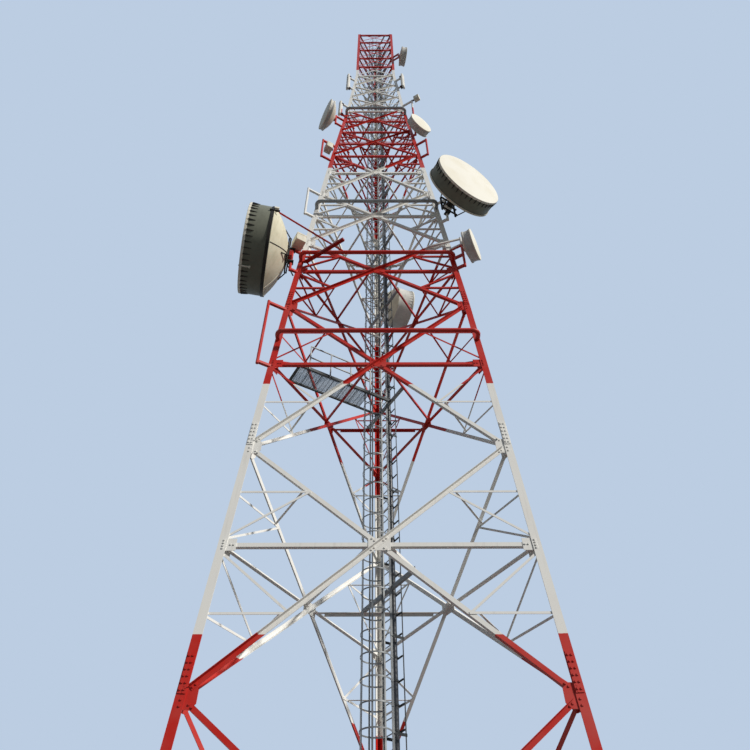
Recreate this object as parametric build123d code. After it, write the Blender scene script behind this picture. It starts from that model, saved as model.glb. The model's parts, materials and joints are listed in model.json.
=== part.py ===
from build123d import *
import math
import os
from typing import NamedTuple

# Cell tower: a three-legged lattice tower, 50 m tall, as a model at 1:2. Millimetres of the model.
# Z is up, X runs to the right along the front face, Y runs away from the viewer.
# The origin is the middle of the underside of the rear foot's base plate.

# Overall form: height of each break in the taper, and the side of the triangle there, corner to corner.
WAIST_HEIGHT = 9000
LEG_JOINT_HEIGHT = 15000
SHOULDER_HEIGHT = 18000
NECK_HEIGHT = 21000
TOWER_HEIGHT = 25000
BASE_SIDE = 4080
WAIST_SIDE = 2975
JOINT_SIDE = 2065
SHOULDER_SIDE = 1560
NECK_SIDE = 1180
TAPER = (
    (0, BASE_SIDE),
    (WAIST_HEIGHT, WAIST_SIDE),
    (LEG_JOINT_HEIGHT, JOINT_SIDE),
    (SHOULDER_HEIGHT, SHOULDER_SIDE),
    (NECK_HEIGHT, NECK_SIDE),
    (TOWER_HEIGHT, NECK_SIDE),
)
FIRST_NODE_HEIGHT = 60
LOWER_PANELS = 3
MIDDLE_PANELS = 3
SHOULDER_PANELS = 2
UPPER_PANELS = 3
TOP_PANELS = 5

# Legs: 60 degree angles, their corner outwards.
LEG_FLANGE = 95
LEG_WALL = 9
UPPER_LEG_FLANGE = 80
UPPER_LEG_WALL = 8

# Gusset plates between the legs and the braces.
GUSSET_WALL = 6
GUSSET_REACH = 105
GUSSET_HALF_HEIGHT = 115
GUSSET_CORNER = 52
GUSSET_LEG_LAP = 68
CENTRE_GUSSET_HALF_HEIGHT = 75
CENTRE_GUSSET_LAP = 45

# Braces: equal angles.
BRACE_FLANGE = 50
BRACE_WALL = 5
UPPER_BRACE_FLANGE = 38
UPPER_BRACE_WALL = 4
BRACE_END_GAP = 12
BRACE_CLEARANCE = 6
REDUNDANT_WIDTH = 26
REDUNDANT_LAP = 30

# Links across each corner, between the secondary braces of two faces.
LINK_WIDTH = 26
LINK_WALL = 5
LINK_INSET = 90

# Plan bracing at the level of each crossing.
PLAN_FLANGE = 40
PLAN_WALL = 5
PLAN_LAP = 45
PLAN_CLEARANCE = 0.3
PLAN_FIN_CUT = 95

# Feet.
FOOT_SIDE = 330
FOOT_WALL = 25
FOOT_INSET = 50
ANCHOR_SPACING = 240
ANCHOR_HOLE_RADIUS = 14

# Ladder near the tower's axis, its rungs level with the right face. Its cage stands towards the left leg.
LADDER_TURN = 30
LADDER_OFFSET = 85
LADDER_HALF_WIDTH = 100
LADDER_START = 300
STILE_DEPTH = 30
STILE_WALL = 6
RUNG_SIZE = 10
RUNG_SPACING = 600
CAGE_START = 1250
CAGE_RADIUS = 170
HOOP_HEIGHT = 20
HOOP_WALL = 3
HOOP_SPACING = 1980
HOOP_SIDES = 7
CAGE_STRIP_WIDTH = 20

# Beams that carry the ladder and the cable run, across the plan bracing.
BEAM_DEPTH = 50
BEAM_FLANGE = 38
BEAM_WALL = 5

# Cable run behind the beams.
CABLE_RADIUS = 37
CABLE_START = 600

# Catwalk from the left leg to the ladder.
CATWALK_HALF_WIDTH = 190
CATWALK_START = 240
CATWALK_END = 1430
STRINGER_DEPTH = 50
STRINGER_FLANGE = 30
STRINGER_WALL = 5
DECK_WALL = 12
DECK_BARS = 7
DECK_BAR_WIDTH = 5
RAIL_HEIGHT = 475
RAIL_SIZE = 16
RAIL_POSTS = 4
RAIL_INSET = 160

# Tubes across the front face, clear of it, with their ends bent back to the legs.
TUBE_RADIUS = 35
TUBE_STAND_OFF = 175
TUBE_BEND = 90
TUBE_SIDES = 8
TUBE_CORNER_INSET = 42
TUBE_HEIGHTS = (8120, 10350, 12310, 17660)

# Poles clear of the legs, on two arms each: leg, lowest and highest arm, stand-off from the leg's corner.
POLE_RADIUS = 24
POLE_OVERHANG = 40
POLE_STAND_OFF = 165
ARM_SIZE = 44
POLE_FRAMES = (
    ("left", 7530, 8900, POLE_STAND_OFF),
    ("left", 12000, 12950, POLE_STAND_OFF),
    ("right", 14850, 15600, POLE_STAND_OFF),
    ("left", 14700, 15500, 225),
)


class Dish(NamedTuple):
    """A drum dish on a pole. The aim is in degrees from X, and the reach goes from pole to aperture."""

    leg: str
    height: float
    aim: float
    radius: float
    depth: float
    reach: float
    stand_off: float
    arm_below: float
    arm_above: float


DISHES = {
    "big_dish_left": Dish("left", 10390, 192, 778, 426, 820, 105, 390, 210),
    "big_dish_right": Dish("right", 12150, -59, 674, 318, 755, 110, 370, 370),
    "dish_right": Dish("right", 10580, -26, 282, 150, 245, POLE_STAND_OFF, 155, 155),
    "dish_upper_left": Dish("left", 17035, 208, 380, 185, 300, POLE_STAND_OFF, 210, 210),
    "dish_upper_right": Dish("right", 16430, -54, 336, 130, 240, 50, 230, 1900),
    "dish_rear": Dish("rear", 12300, 20, 450, 350, 735, POLE_STAND_OFF, 250, 250),
    "dish_top": Dish("right", 22475, 10, 270, 150, 230, POLE_STAND_OFF, 150, 150),
}
DISH_SIDES = 24
SMALL_DISH_SIDES = 16
SMALL_DISH_RADIUS = 500
DISH_HUB_SHARE = 0.16
DISH_HUB_RADIUS_SHARE = 0.2
DISH_MOUNT_SHARE = 0.14
DISH_BACK_SHARES = (0.8, 0.5, DISH_HUB_RADIUS_SHARE)
RIM_LIP = 12
RIM_DEPTH = 22
RADOME_BULGE = 12
RADOME_EDGE = 8
RADOME_FLAT_SHARE = 0.62

# Stay from the rim of the large left dish to a front tube, and the bar that juts out under the tube.
STAY_RADIUS = 16
STAY_TUBE = 1
STAY_TUBE_PLACE = 560
STAY_RIM_ANGLE = 55
OUTRIGGER_WIDTH = 60
OUTRIGGER_DEPTH = 44
OUTRIGGER_LENGTH = 930
OUTRIGGER_TURN = -34

# Panel antennas on poles: leg, lowest and highest arm, width, length.
ANTENNA_DEPTH = 55
ANTENNA_STAND_OFF = 105
ANTENNAS = (
    ("left", 19700, 20450, 105, 1100),
    ("left", 17560, 18240, 105, 820),
    ("right", 19800, 20450, 140, 950),
)

# Radio units: leg, height, place outwards and sideways from its corner, where the bracket starts, size.
UNITS = (
    ("left", 10760, 115, 100, 0, (190, 250, 220)),
    ("left", 15270, 120, 0, 0, (158, 200, 240)),
    ("right", 18330, 395, 0, 250, (150, 130, 170)),
)
UNIT_BRACKET = 30

ROOT3 = math.sqrt(3)
FACE_TURNS = {"front": 0, "right": 120, "left": -120}
LEG_TURNS = {"left": 0, "right": 120, "rear": -120}


def side_at(height):
    """Side of the tower's triangle at a height, corner to corner."""
    for (low, low_side), (high, high_side) in zip(TAPER, TAPER[1:]):
        if height <= high:
            return low_side + (high_side - low_side) * (height - low) / (high - low)
    return TAPER[-1][1]


def levels(low, high, panels):
    """Heights that divide a stretch of the tower into equal panels, both ends included."""
    return [low + (high - low) * step / panels for step in range(panels + 1)]


AXIS_Y = -(side_at(0) / ROOT3 - FOOT_INSET)

# Levels where the braces of a face meet the legs.
LOWER_NODES = [FIRST_NODE_HEIGHT] + levels(0, WAIST_HEIGHT, LOWER_PANELS)[1:]
MIDDLE_NODES = levels(WAIST_HEIGHT, LEG_JOINT_HEIGHT, MIDDLE_PANELS)
UPPER_NODES = levels(LEG_JOINT_HEIGHT, SHOULDER_HEIGHT, SHOULDER_PANELS)
UPPER_NODES += levels(SHOULDER_HEIGHT, NECK_HEIGHT, UPPER_PANELS)[1:]
TOP_NODES = levels(NECK_HEIGHT, TOWER_HEIGHT, TOP_PANELS)


def placed(shape):
    """Moves a shape from the tower's axis to the part's own frame."""
    return Pos(0, AXIS_Y, 0) * shape


def write(name, shape, turn=0):
    """Writes one sub-part after turning it about the tower's axis."""
    solid = placed(Rot(0, 0, turn) * shape)
    solid.label = name
    export_step(solid, f"parts/{name}.step")


class Face:
    """The flat front face between two breaks of the taper, with its own flat coordinates."""

    def __init__(self, height):
        for (low, low_side), (high, high_side) in zip(TAPER, TAPER[1:]):
            if low <= height < high:
                break
        self.low = low
        self.lean = (low_side - high_side) / (high - low) / (2 * ROOT3)
        self.stretch = math.hypot(1, self.lean)
        normal = Vector(0, -1 / self.stretch, self.lean / self.stretch)
        self.plane = Plane(
            origin=(0, -low_side / (2 * ROOT3), low), x_dir=(1, 0, 0), z_dir=normal
        )

    def depth(self, level_depth):
        """Depth square to the leaning face of a depth measured level."""
        return level_depth / self.stretch

    def up(self, height):
        """Distance up the face of a height."""
        return (height - self.low) * self.stretch

    def bar(self, start, end, profile):
        """A straight bar between two (across, height) points, with its section seen along it."""
        first = Vector(start[0], self.up(start[1]))
        last = Vector(end[0], self.up(end[1]))
        along = last - first
        section = Plane(
            origin=first, x_dir=Vector(-along.Y, along.X, 0), z_dir=along
        )
        outline = make_face(Polyline(*profile, close=True))
        return self.plane * extrude(section * outline, amount=along.length)

    def plate(self, points, near, far):
        """A flat plate with its outline in (across, height) points, between two depths."""
        outline = Polyline(*[(across, self.up(height)) for across, height in points], close=True)
        return self.plane * extrude(Pos(0, 0, near) * make_face(outline), amount=far - near)


def angle_profile(flange, wall, seat, outwards, edge):
    """Section of an angle: one flange flat on its seat, the other standing at one edge."""
    way = 1 if outwards else -1
    half = flange / 2
    return [
        (-edge * half, seat),
        (edge * half, seat),
        (edge * half, seat + way * flange),
        (edge * (half - wall), seat + way * flange),
        (edge * (half - wall), seat + way * wall),
        (-edge * half, seat + way * wall),
    ]


def flat_profile(width, near, far):
    """Section of a flat bar between two depths."""
    half = width / 2
    return [(-half, near), (half, near), (half, far), (-half, far)]


def leg_sizes(height):
    """Flange and wall of the leg at a height."""
    if height < LEG_JOINT_HEIGHT:
        return LEG_FLANGE, LEG_WALL
    return UPPER_LEG_FLANGE, UPPER_LEG_WALL


def leg_section(height, flange, wall):
    """Level section of the front left leg: two flanges at 60 degrees, its corner outwards."""
    corner = Vector(-side_at(height) / 2, -side_at(height) / (2 * ROOT3), height)
    first = Vector(1, 0, 0)
    second = Vector(0.5, ROOT3 / 2, 0)
    first_in = Vector(0, 1, 0)
    second_in = Vector(ROOT3 / 2, -0.5, 0)
    heel = (first + second) * (2 * wall / ROOT3)
    points = [
        corner,
        corner + first * flange,
        corner + first * flange + first_in * wall,
        corner + heel,
        corner + second * flange + second_in * wall,
        corner + second * flange,
    ]
    return make_face(Polyline(*points, close=True))


def crossing_height(low, high):
    """Height where the two diagonals of a panel cross."""
    low_side, high_side = side_at(low), side_at(high)
    return low + (high - low) * low_side / (low_side + high_side)


def leg_gusset(height, flange, wall, half_height, corner):
    """Plates inside the left leg's flange, where braces meet it, one above and one below a break."""
    inner = -side_at(height) / 2 + flange + GUSSET_REACH
    outer = inner - GUSSET_REACH - GUSSET_LEG_LAP
    low, high = height - half_height, height + half_height
    lower = [(outer, low), (inner - corner, low)] + ([(inner, low + corner)] if corner else [])
    upper = ([(inner, high - corner)] if corner else []) + [(inner - corner, high), (outer, high)]
    if height not in [level for level, _ in TAPER]:
        outlines = [(Face(height), lower + upper)]
    else:
        outlines = [
            (Face(low), lower + [(inner, height), (outer, height)]),
            (Face(height), [(outer, height), (inner, height)] + upper),
        ]
    plates = []
    for face, outline in outlines:
        seat = -face.depth(wall)
        plates.append(face.plate(outline, seat - GUSSET_WALL, seat))
    return plates


def leg(heights, nodes):
    """One length of the front left leg with its gusset plates on both faces."""
    flange, wall = leg_sizes(heights[0])
    body = loft([leg_section(height, flange, wall) for height in heights], ruled=True)
    plates = []
    for height, half_height, corner in nodes:
        for plate in leg_gusset(height, flange, wall, half_height, corner):
            plates.append(plate)
            plates.append(Rot(0, 0, -120) * mirror(plate, about=Plane.YZ))
    return body + plates if plates else body


def diagonal_line(low, high):
    """Work points of the diagonal from the bottom left to the top right of a panel."""
    inset = leg_sizes(low)[0] / 2
    start = (-side_at(low) / 2 + inset, low)
    end = (side_at(high) / 2 - inset, high)
    return start, end


def trimmed(start, end, trim_start, trim_end):
    """A line with lengths taken off its ends."""
    across, rise = end[0] - start[0], end[1] - start[1]
    length = math.hypot(across, rise)
    return (
        (start[0] + across * trim_start / length, start[1] + rise * trim_start / length),
        (end[0] - across * trim_end / length, end[1] - rise * trim_end / length),
    )


def mirrored(points):
    """The same points on the other side of the face's middle."""
    return [(-across, height) for across, height in points]


def between(first, second, share=0.5):
    """A point part of the way along a line."""
    return tuple(a + (b - a) * share for a, b in zip(first, second))


def redundants(face, low, high, middle, wall):
    """Secondary braces of a panel: a level one and a sloping one to the middle of each half diagonal."""
    start, end = diagonal_line(low, high)
    centre = (0, middle)
    outer_seat = -face.depth(wall)
    seat = flat_profile(REDUNDANT_WIDTH, outer_seat - GUSSET_WALL, outer_seat)
    flange = leg_sizes(low)[0]
    pieces = []
    for node, nearest in ((start, "low"), (mirrored([end])[0], "high")):
        meet = between(node, centre)
        leg_edge = -side_at(meet[1]) / 2 + flange - REDUNDANT_LAP
        level = [(leg_edge, meet[1]), (meet[0] + REDUNDANT_WIDTH / 2, meet[1])]
        offset = CENTRE_GUSSET_HALF_HEIGHT + REDUNDANT_WIDTH
        root_height = middle - offset if nearest == "low" else middle + offset
        root = (-side_at(root_height) / 2 + flange - REDUNDANT_LAP, root_height)
        slope = [root, meet]
        for line in (level, slope):
            pieces.append(face.bar(*line, seat))
            pieces.append(face.bar(*mirrored(line), seat))
    return pieces


def level_end_from_corner(wall, size):
    """Distance from the corner at which level braces of two faces stand just clear of each other."""
    return ROOT3 * (wall + GUSSET_WALL + size) + BRACE_CLEARANCE


def level_start(size, slope):
    """Distance from the face's middle at which a level brace clears the diagonal."""
    return size / 2 * (1 + 1 / math.cos(slope)) / math.tan(slope) + BRACE_END_GAP


def panel(low, high, with_redundants):
    """One panel of the front face: crossed diagonals, a level brace through the crossing, a gusset."""
    face = Face(low)
    flange, wall = leg_sizes(low)
    large = low < LEG_JOINT_HEIGHT
    size, brace_wall = (BRACE_FLANGE, BRACE_WALL) if large else (UPPER_BRACE_FLANGE, UPPER_BRACE_WALL)
    outer_seat = -face.depth(wall)
    inner_seat = outer_seat - GUSSET_WALL
    start, end = diagonal_line(low, high)
    slope = math.atan2(end[1] - start[1], end[0] - start[0])
    trim = (flange / 2 + BRACE_END_GAP) / math.cos(slope) + size / 2 * math.tan(slope)
    line = trimmed(start, end, trim, trim)
    pieces = [
        face.bar(*line, angle_profile(size, brace_wall, outer_seat, True, 1)),
        face.bar(*mirrored(line), angle_profile(size, brace_wall, inner_seat, False, 1)),
    ]
    middle = crossing_height(low, high)
    inner_end = level_start(size, slope)
    outer_end = side_at(middle) / 2 - level_end_from_corner(wall, size)
    level = [(-outer_end, middle), (-inner_end, middle)]
    level_profile = angle_profile(size, brace_wall, inner_seat, False, -1)
    pieces.append(face.bar(*level, level_profile))
    pieces.append(face.bar((inner_end, middle), (outer_end, middle), level_profile))
    reach = inner_end + CENTRE_GUSSET_LAP
    half = CENTRE_GUSSET_HALF_HEIGHT if large else size * 1.2
    plate = [(-reach, middle - half), (reach, middle - half), (reach, middle + half), (-reach, middle + half)]
    pieces.append(face.plate(plate, inner_seat, outer_seat))
    if with_redundants:
        pieces += redundants(face, low, high, middle, wall)
    return pieces[0] + pieces[1:]


def lapped_line(low, high, lap_inset):
    """Diagonal that runs on to the flanges of the legs."""
    start, end = diagonal_line(low, high)
    rise = abs(end[1] - start[1]) / abs(end[0] - start[0])
    shift = lap_inset * rise
    return trimmed(start, end, shift, shift)


def small_panel(low, high, angles):
    """One panel above the gussets, of angles or flats, one on the outside of the legs and one inside."""
    face = Face(low)
    flange, wall = leg_sizes(low)
    size, brace_wall = UPPER_BRACE_FLANGE, UPPER_BRACE_WALL
    inner_seat = -face.depth(wall)
    line = lapped_line(low, high, size)
    middle = crossing_height(low, high)
    pad = size / 2
    plate = [(-pad, middle - pad), (pad, middle - pad), (pad, middle + pad), (-pad, middle + pad)]
    profiles = [flat_profile(size, 0, brace_wall), flat_profile(size, inner_seat - brace_wall, inner_seat)]
    if angles:
        profiles = [
            angle_profile(size, brace_wall, 0, True, 1),
            angle_profile(size, brace_wall, inner_seat, False, 1),
        ]
    pieces = [face.bar(*line, profiles[0]), face.bar(*mirrored(line), profiles[1])]
    pieces.append(face.plate(plate, inner_seat, 0))
    if angles:
        reach = side_at(middle) / 2 - flange / 2
        level = [(-reach, middle), (reach, middle)]
        pieces.append(face.bar(*level, flat_profile(size, inner_seat - brace_wall, inner_seat)))
    return pieces[0] + pieces[1:]


def level_brace(height):
    """A level brace between two legs, at the head of a panel."""
    face = Face(height - 1)
    wall = leg_sizes(height)[1]
    reach = (side_at(height) - leg_sizes(height)[0]) / 2
    level = height - UPPER_BRACE_FLANGE / 2 - BRACE_CLEARANCE
    seat = -face.depth(wall)
    profile = flat_profile(UPPER_BRACE_FLANGE, seat - UPPER_BRACE_WALL, seat)
    return face.bar((-reach, level), (reach, level), profile)


def together(shapes):
    """Several solids that don't touch, as one sub-part."""
    return Compound([solid for shape in shapes for solid in shape.solids()])


def foot():
    """Base plate under the front left leg, with four anchor holes."""
    corner = Vector(-side_at(0) / 2, -side_at(0) / (2 * ROOT3))
    inwards = Vector(ROOT3 / 2, 0.5)
    centre = corner + inwards * FOOT_INSET
    plate = Box(FOOT_SIDE, FOOT_SIDE, FOOT_WALL, align=(Align.CENTER, Align.CENTER, Align.MIN))
    holes = GridLocations(ANCHOR_SPACING, ANCHOR_SPACING, 2, 2) * Cylinder(
        ANCHOR_HOLE_RADIUS, FOOT_WALL, align=(Align.CENTER, Align.CENTER, Align.MIN)
    )
    plate = plate - holes
    return Pos(centre.X, centre.Y, 0) * Rot(0, 0, 30) * plate


def build_legs():
    """The three legs, each in a lower and an upper length, and the feet."""
    lower_levels = [height for height, _ in TAPER if height <= LEG_JOINT_HEIGHT]
    lower_levels[0] = FOOT_WALL
    upper_levels = [height for height, _ in TAPER if height >= LEG_JOINT_HEIGHT]
    heights = LOWER_NODES[1:] + MIDDLE_NODES[1:-1] + [LOWER_NODES[0] + GUSSET_HALF_HEIGHT]
    nodes = [(height, GUSSET_HALF_HEIGHT, GUSSET_CORNER) for height in heights]
    spans = list(zip(LOWER_NODES, LOWER_NODES[1:])) + list(zip(MIDDLE_NODES, MIDDLE_NODES[1:]))
    nodes += [(crossing_height(*span), CENTRE_GUSSET_HALF_HEIGHT, 0) for span in spans]
    lower = leg(lower_levels, nodes)
    upper = leg(upper_levels, [])
    for name, turn in LEG_TURNS.items():
        write(f"leg_{name}_lower", lower, turn)
        write(f"leg_{name}_upper", upper, turn)
    write("feet", together([Rot(0, 0, turn) * foot() for turn in LEG_TURNS.values()]))


def build_faces():
    """The bracing of the three faces: three tall panels, then a middle, an upper and a top group."""
    groups = {}
    for number, span in enumerate(zip(LOWER_NODES, LOWER_NODES[1:]), 1):
        groups[f"bracing_{number}"] = panel(*span, True)
    middle = [panel(*span, False) for span in zip(MIDDLE_NODES, MIDDLE_NODES[1:])]
    groups["bracing_middle"] = together(middle)
    upper = [small_panel(*span, True) for span in zip(UPPER_NODES, UPPER_NODES[1:])]
    groups["bracing_upper"] = together(upper)
    top = [small_panel(*span, False) for span in zip(TOP_NODES, TOP_NODES[1:])]
    top += [level_brace(height) for height in TOP_NODES[1:]]
    groups["bracing_top"] = together(top)
    for name, shape in groups.items():
        for side, turn in FACE_TURNS.items():
            write(f"{side}_{name}", shape, turn)


PLAN_SPANS = [span for nodes in (LOWER_NODES, MIDDLE_NODES, UPPER_NODES) for span in zip(nodes, nodes[1:])]


def plan_seat(low, high):
    """Where the plan bracing sits at a crossing: height, distance in from the faces, and shift outwards."""
    face = Face(low)
    wall = leg_sizes(low)[1]
    middle = crossing_height(low, high)
    corner_inset = PLAN_FLANGE / 4
    start, end = diagonal_line(low, high)
    slope = math.atan2(end[1] - start[1], end[0] - start[0])
    if low >= LEG_JOINT_HEIGHT:
        inset = wall + UPPER_BRACE_WALL + corner_inset + PLAN_CLEARANCE
        shift = (level_start(UPPER_BRACE_FLANGE, slope) + PLAN_LAP) * ROOT3 / 2
        return middle, inset, shift
    inner_seat = face.depth(wall) + GUSSET_WALL + BRACE_WALL
    ledge = middle - (BRACE_FLANGE / 2 - BRACE_WALL) / face.stretch - inner_seat * face.lean
    shift = (level_start(BRACE_FLANGE, slope) + PLAN_LAP) * ROOT3 / 2
    return ledge + PLAN_CLEARANCE, inner_seat + 2 * corner_inset, shift


def plan_reach(low, high):
    """Distances of the plan bracing at a crossing: from the axis, and half the length of one bar."""
    height, inset, shift = plan_seat(low, high)
    radius = side_at(crossing_height(low, high)) / (2 * ROOT3) - inset
    distance = radius / 2 + shift
    return distance, (radius - distance / 2) * 2 / ROOT3


def plan_bar(low, high):
    """Angle, or a flat above the leg joint, from near the front face's middle to near the left face's."""
    height = plan_seat(low, high)[0]
    distance, half = plan_reach(low, high)
    middle_low = (Align.CENTER, Align.CENTER, Align.MIN)
    shape = Box(2 * half, PLAN_FLANGE, PLAN_WALL, align=middle_low)
    if low < LEG_JOINT_HEIGHT:
        fin = Box(2 * (half - PLAN_FIN_CUT), PLAN_WALL, PLAN_FLANGE, align=middle_low)
        shape += Pos(0, -(PLAN_FLANGE - PLAN_WALL) / 2, PLAN_WALL - PLAN_FLANGE) * fin
    return Pos(0, 0, height) * Rot(0, 0, -60) * Pos(0, -distance, 0) * shape


def corner_link(low, high, node):
    """Flat bar across the left corner, from the front face's secondary brace to the left face's."""
    start, end = diagonal_line(low, high)
    work_point = start if node == low else mirrored([end])[0]
    across, height = between(work_point, (0, crossing_height(low, high)))
    inset = Face(low).depth(leg_sizes(low)[1]) + GUSSET_WALL + LINK_WIDTH / 4 + PLAN_CLEARANCE
    radius = side_at(height) / (2 * ROOT3) - inset
    distance = (LINK_INSET - across) * ROOT3 / 2 + radius / 2
    half = (radius - distance / 2) * 2 / ROOT3
    bar = Box(2 * half, LINK_WIDTH, LINK_WALL)
    return Pos(0, 0, height) * Rot(0, 0, -60) * Pos(0, -distance, 0) * bar


def ladder_frame(shape):
    """Turns a shape drawn with the ladder's run along X to its place in the tower."""
    return Rot(0, 0, LADDER_TURN) * shape


def beam(height, half):
    """Angle behind the ladder, level with the right face."""
    back = LADDER_OFFSET + STILE_DEPTH
    outline = [
        (back, height),
        (back + BEAM_FLANGE, height),
        (back + BEAM_FLANGE, height + BEAM_WALL),
        (back + BEAM_WALL, height + BEAM_WALL),
        (back + BEAM_WALL, height + BEAM_DEPTH),
        (back, height + BEAM_DEPTH),
    ]
    section = Plane(origin=(0, half, 0), x_dir=(1, 0, 0), z_dir=(0, -1, 0))
    return ladder_frame(extrude(section * make_face(Polyline(*outline, close=True)), amount=2 * half))


def ladder_beams():
    """The beams on the plan bracing, and those on the level braces of the top."""
    beams = []
    for span in PLAN_SPANS:
        distance = plan_reach(*span)[0] + PLAN_FLANGE / 2
        reach = LADDER_OFFSET + STILE_DEPTH + BEAM_FLANGE
        half = (distance - reach / 2) * 2 / ROOT3
        beams.append(beam(plan_seat(*span)[0] + PLAN_WALL, half))
    wall = leg_sizes(TOWER_HEIGHT)[1] + UPPER_BRACE_WALL + PLAN_CLEARANCE
    radius = side_at(TOWER_HEIGHT) / (2 * ROOT3) - wall
    half = (radius + (LADDER_OFFSET + STILE_DEPTH) / 2) * 2 / ROOT3
    for height in TOP_NODES[1::2]:
        top = height - BRACE_CLEARANCE - UPPER_BRACE_FLANGE / 2 - BEAM_DEPTH / 2
        beams.append(beam(top, half))
    return beams


def stiles():
    """The two side rails of the ladder."""
    run = TOWER_HEIGHT - LADDER_START
    low = (Align.MIN, Align.MAX, Align.MIN)
    rail = Box(STILE_DEPTH, STILE_WALL, run, align=low)
    pair = []
    for side in (1, -1):
        edge = LADDER_HALF_WIDTH if side == 1 else -LADDER_HALF_WIDTH + STILE_WALL
        pair.append(ladder_frame(Pos(LADDER_OFFSET, edge, LADDER_START) * rail))
    return pair


def rungs():
    """The rungs between the side rails."""
    length = 2 * (LADDER_HALF_WIDTH - STILE_WALL)
    rung = Box(RUNG_SIZE, length, RUNG_SIZE)
    count = int((TOWER_HEIGHT - LADDER_START) / RUNG_SPACING)
    middle = LADDER_OFFSET + STILE_DEPTH / 2
    first = LADDER_START + RUNG_SPACING / 2
    return [ladder_frame(Pos(middle, 0, first + step * RUNG_SPACING) * rung) for step in range(count)]


def cage_angles():
    """Half opening of a hoop at the ladder, the centre of its curve and the angles of its corners."""
    opening = math.asin(LADDER_HALF_WIDTH / CAGE_RADIUS)
    centre = LADDER_OFFSET - CAGE_RADIUS * math.cos(opening)
    step = (2 * math.pi - 2 * opening) / HOOP_SIDES
    return centre, [opening + step * corner for corner in range(HOOP_SIDES + 1)]


def hoop_line(radius):
    """Corners of one side of a hoop, from the left side rail round to the right one."""
    centre, angles = cage_angles()
    points = [(centre + radius * math.cos(a), radius * math.sin(a)) for a in angles[1:-1]]
    edge = LADDER_HALF_WIDTH + radius - CAGE_RADIUS
    end = LADDER_OFFSET + STILE_DEPTH
    return [(end, edge)] + [(LADDER_OFFSET, edge)] + points + [(LADDER_OFFSET, -edge), (end, -edge)]


def hoops():
    """Hoops of the safety cage, fixed to the outer faces of the side rails."""
    outline = hoop_line(CAGE_RADIUS) + hoop_line(CAGE_RADIUS + HOOP_WALL)[::-1]
    band = extrude(make_face(Polyline(*outline, close=True)), amount=HOOP_HEIGHT)
    last = TOWER_HEIGHT - HOOP_HEIGHT
    heights = levels(CAGE_START, last, round((last - CAGE_START) / HOOP_SPACING))
    return [ladder_frame(Pos(0, 0, height) * band) for height in heights]


def cage_strips():
    """Upright strips inside the hoops, one at the middle of each flat between the first and last."""
    centre, angles = cage_angles()
    half_step = (angles[1] - angles[0]) / 2
    inside = CAGE_RADIUS * math.cos(half_step) - HOOP_WALL / 2
    run = TOWER_HEIGHT - CAGE_START
    strip = Box(HOOP_WALL, CAGE_STRIP_WIDTH, run, align=(Align.CENTER, Align.CENTER, Align.MIN))
    strips = []
    for angle in angles[1:-2]:
        turn = math.degrees(angle + half_step)
        strips.append(ladder_frame(Pos(centre, 0, CAGE_START) * Rot(0, 0, turn) * Pos(inside, 0, 0) * strip))
    return strips


def cable_run():
    """The thick feeder that climbs behind the beams."""
    feeder = Cylinder(
        CABLE_RADIUS, TOWER_HEIGHT - CABLE_START, align=(Align.CENTER, Align.CENTER, Align.MIN)
    )
    centre = LADDER_OFFSET + STILE_DEPTH + BEAM_FLANGE + CABLE_RADIUS + PLAN_CLEARANCE
    return ladder_frame(Pos(centre, 0, CABLE_START) * feeder)


def catwalk():
    """Walkway from the left leg to the ladder: side angles on a cross bar, and a deck of bars."""
    span = (LOWER_NODES[2], LOWER_NODES[3])
    seat = plan_seat(*span)[0] + PLAN_WALL
    end = LADDER_OFFSET + STILE_DEPTH
    profile = [
        (0, 0),
        (-STRINGER_FLANGE, 0),
        (-STRINGER_FLANGE, STRINGER_WALL),
        (-STRINGER_WALL, STRINGER_WALL),
        (-STRINGER_WALL, STRINGER_DEPTH),
        (0, STRINGER_DEPTH),
    ]
    section = Plane(origin=(-CATWALK_END, CATWALK_HALF_WIDTH, seat), x_dir=(0, 1, 0), z_dir=(1, 0, 0))
    stringer = extrude(section * make_face(Polyline(*profile, close=True)), amount=CATWALK_END + end)
    frame = stringer + mirror(stringer, about=Plane.XZ)
    length = CATWALK_END - CATWALK_START
    width = 2 * (CATWALK_HALF_WIDTH - STRINGER_WALL)
    corner = (Align.MIN, Align.CENTER, Align.MIN)
    pitch = (width - DECK_BAR_WIDTH) / (DECK_BARS - 1)
    bars = [
        Pos(0, (place - (DECK_BARS - 1) / 2) * pitch, 0) * Box(length, DECK_BAR_WIDTH, DECK_WALL, align=corner)
        for place in range(DECK_BARS)
    ]
    cross = Box(DECK_BAR_WIDTH, width, DECK_WALL, align=corner)
    crosses = [Pos((length - DECK_BAR_WIDTH) * share, 0, 0) * cross for share in (0, 0.5, 1)]
    deck = Pos(-CATWALK_END, 0, seat + STRINGER_WALL) * (bars[0] + bars[1:] + crosses)
    bottom = Box(PLAN_FLANGE, 2 * CATWALK_HALF_WIDTH, PLAN_WALL, align=(Align.MIN, Align.CENTER, Align.MAX))
    frame = frame + Pos(-CATWALK_END, 0, seat) * bottom
    return ladder_frame(frame), ladder_frame(deck)


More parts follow.
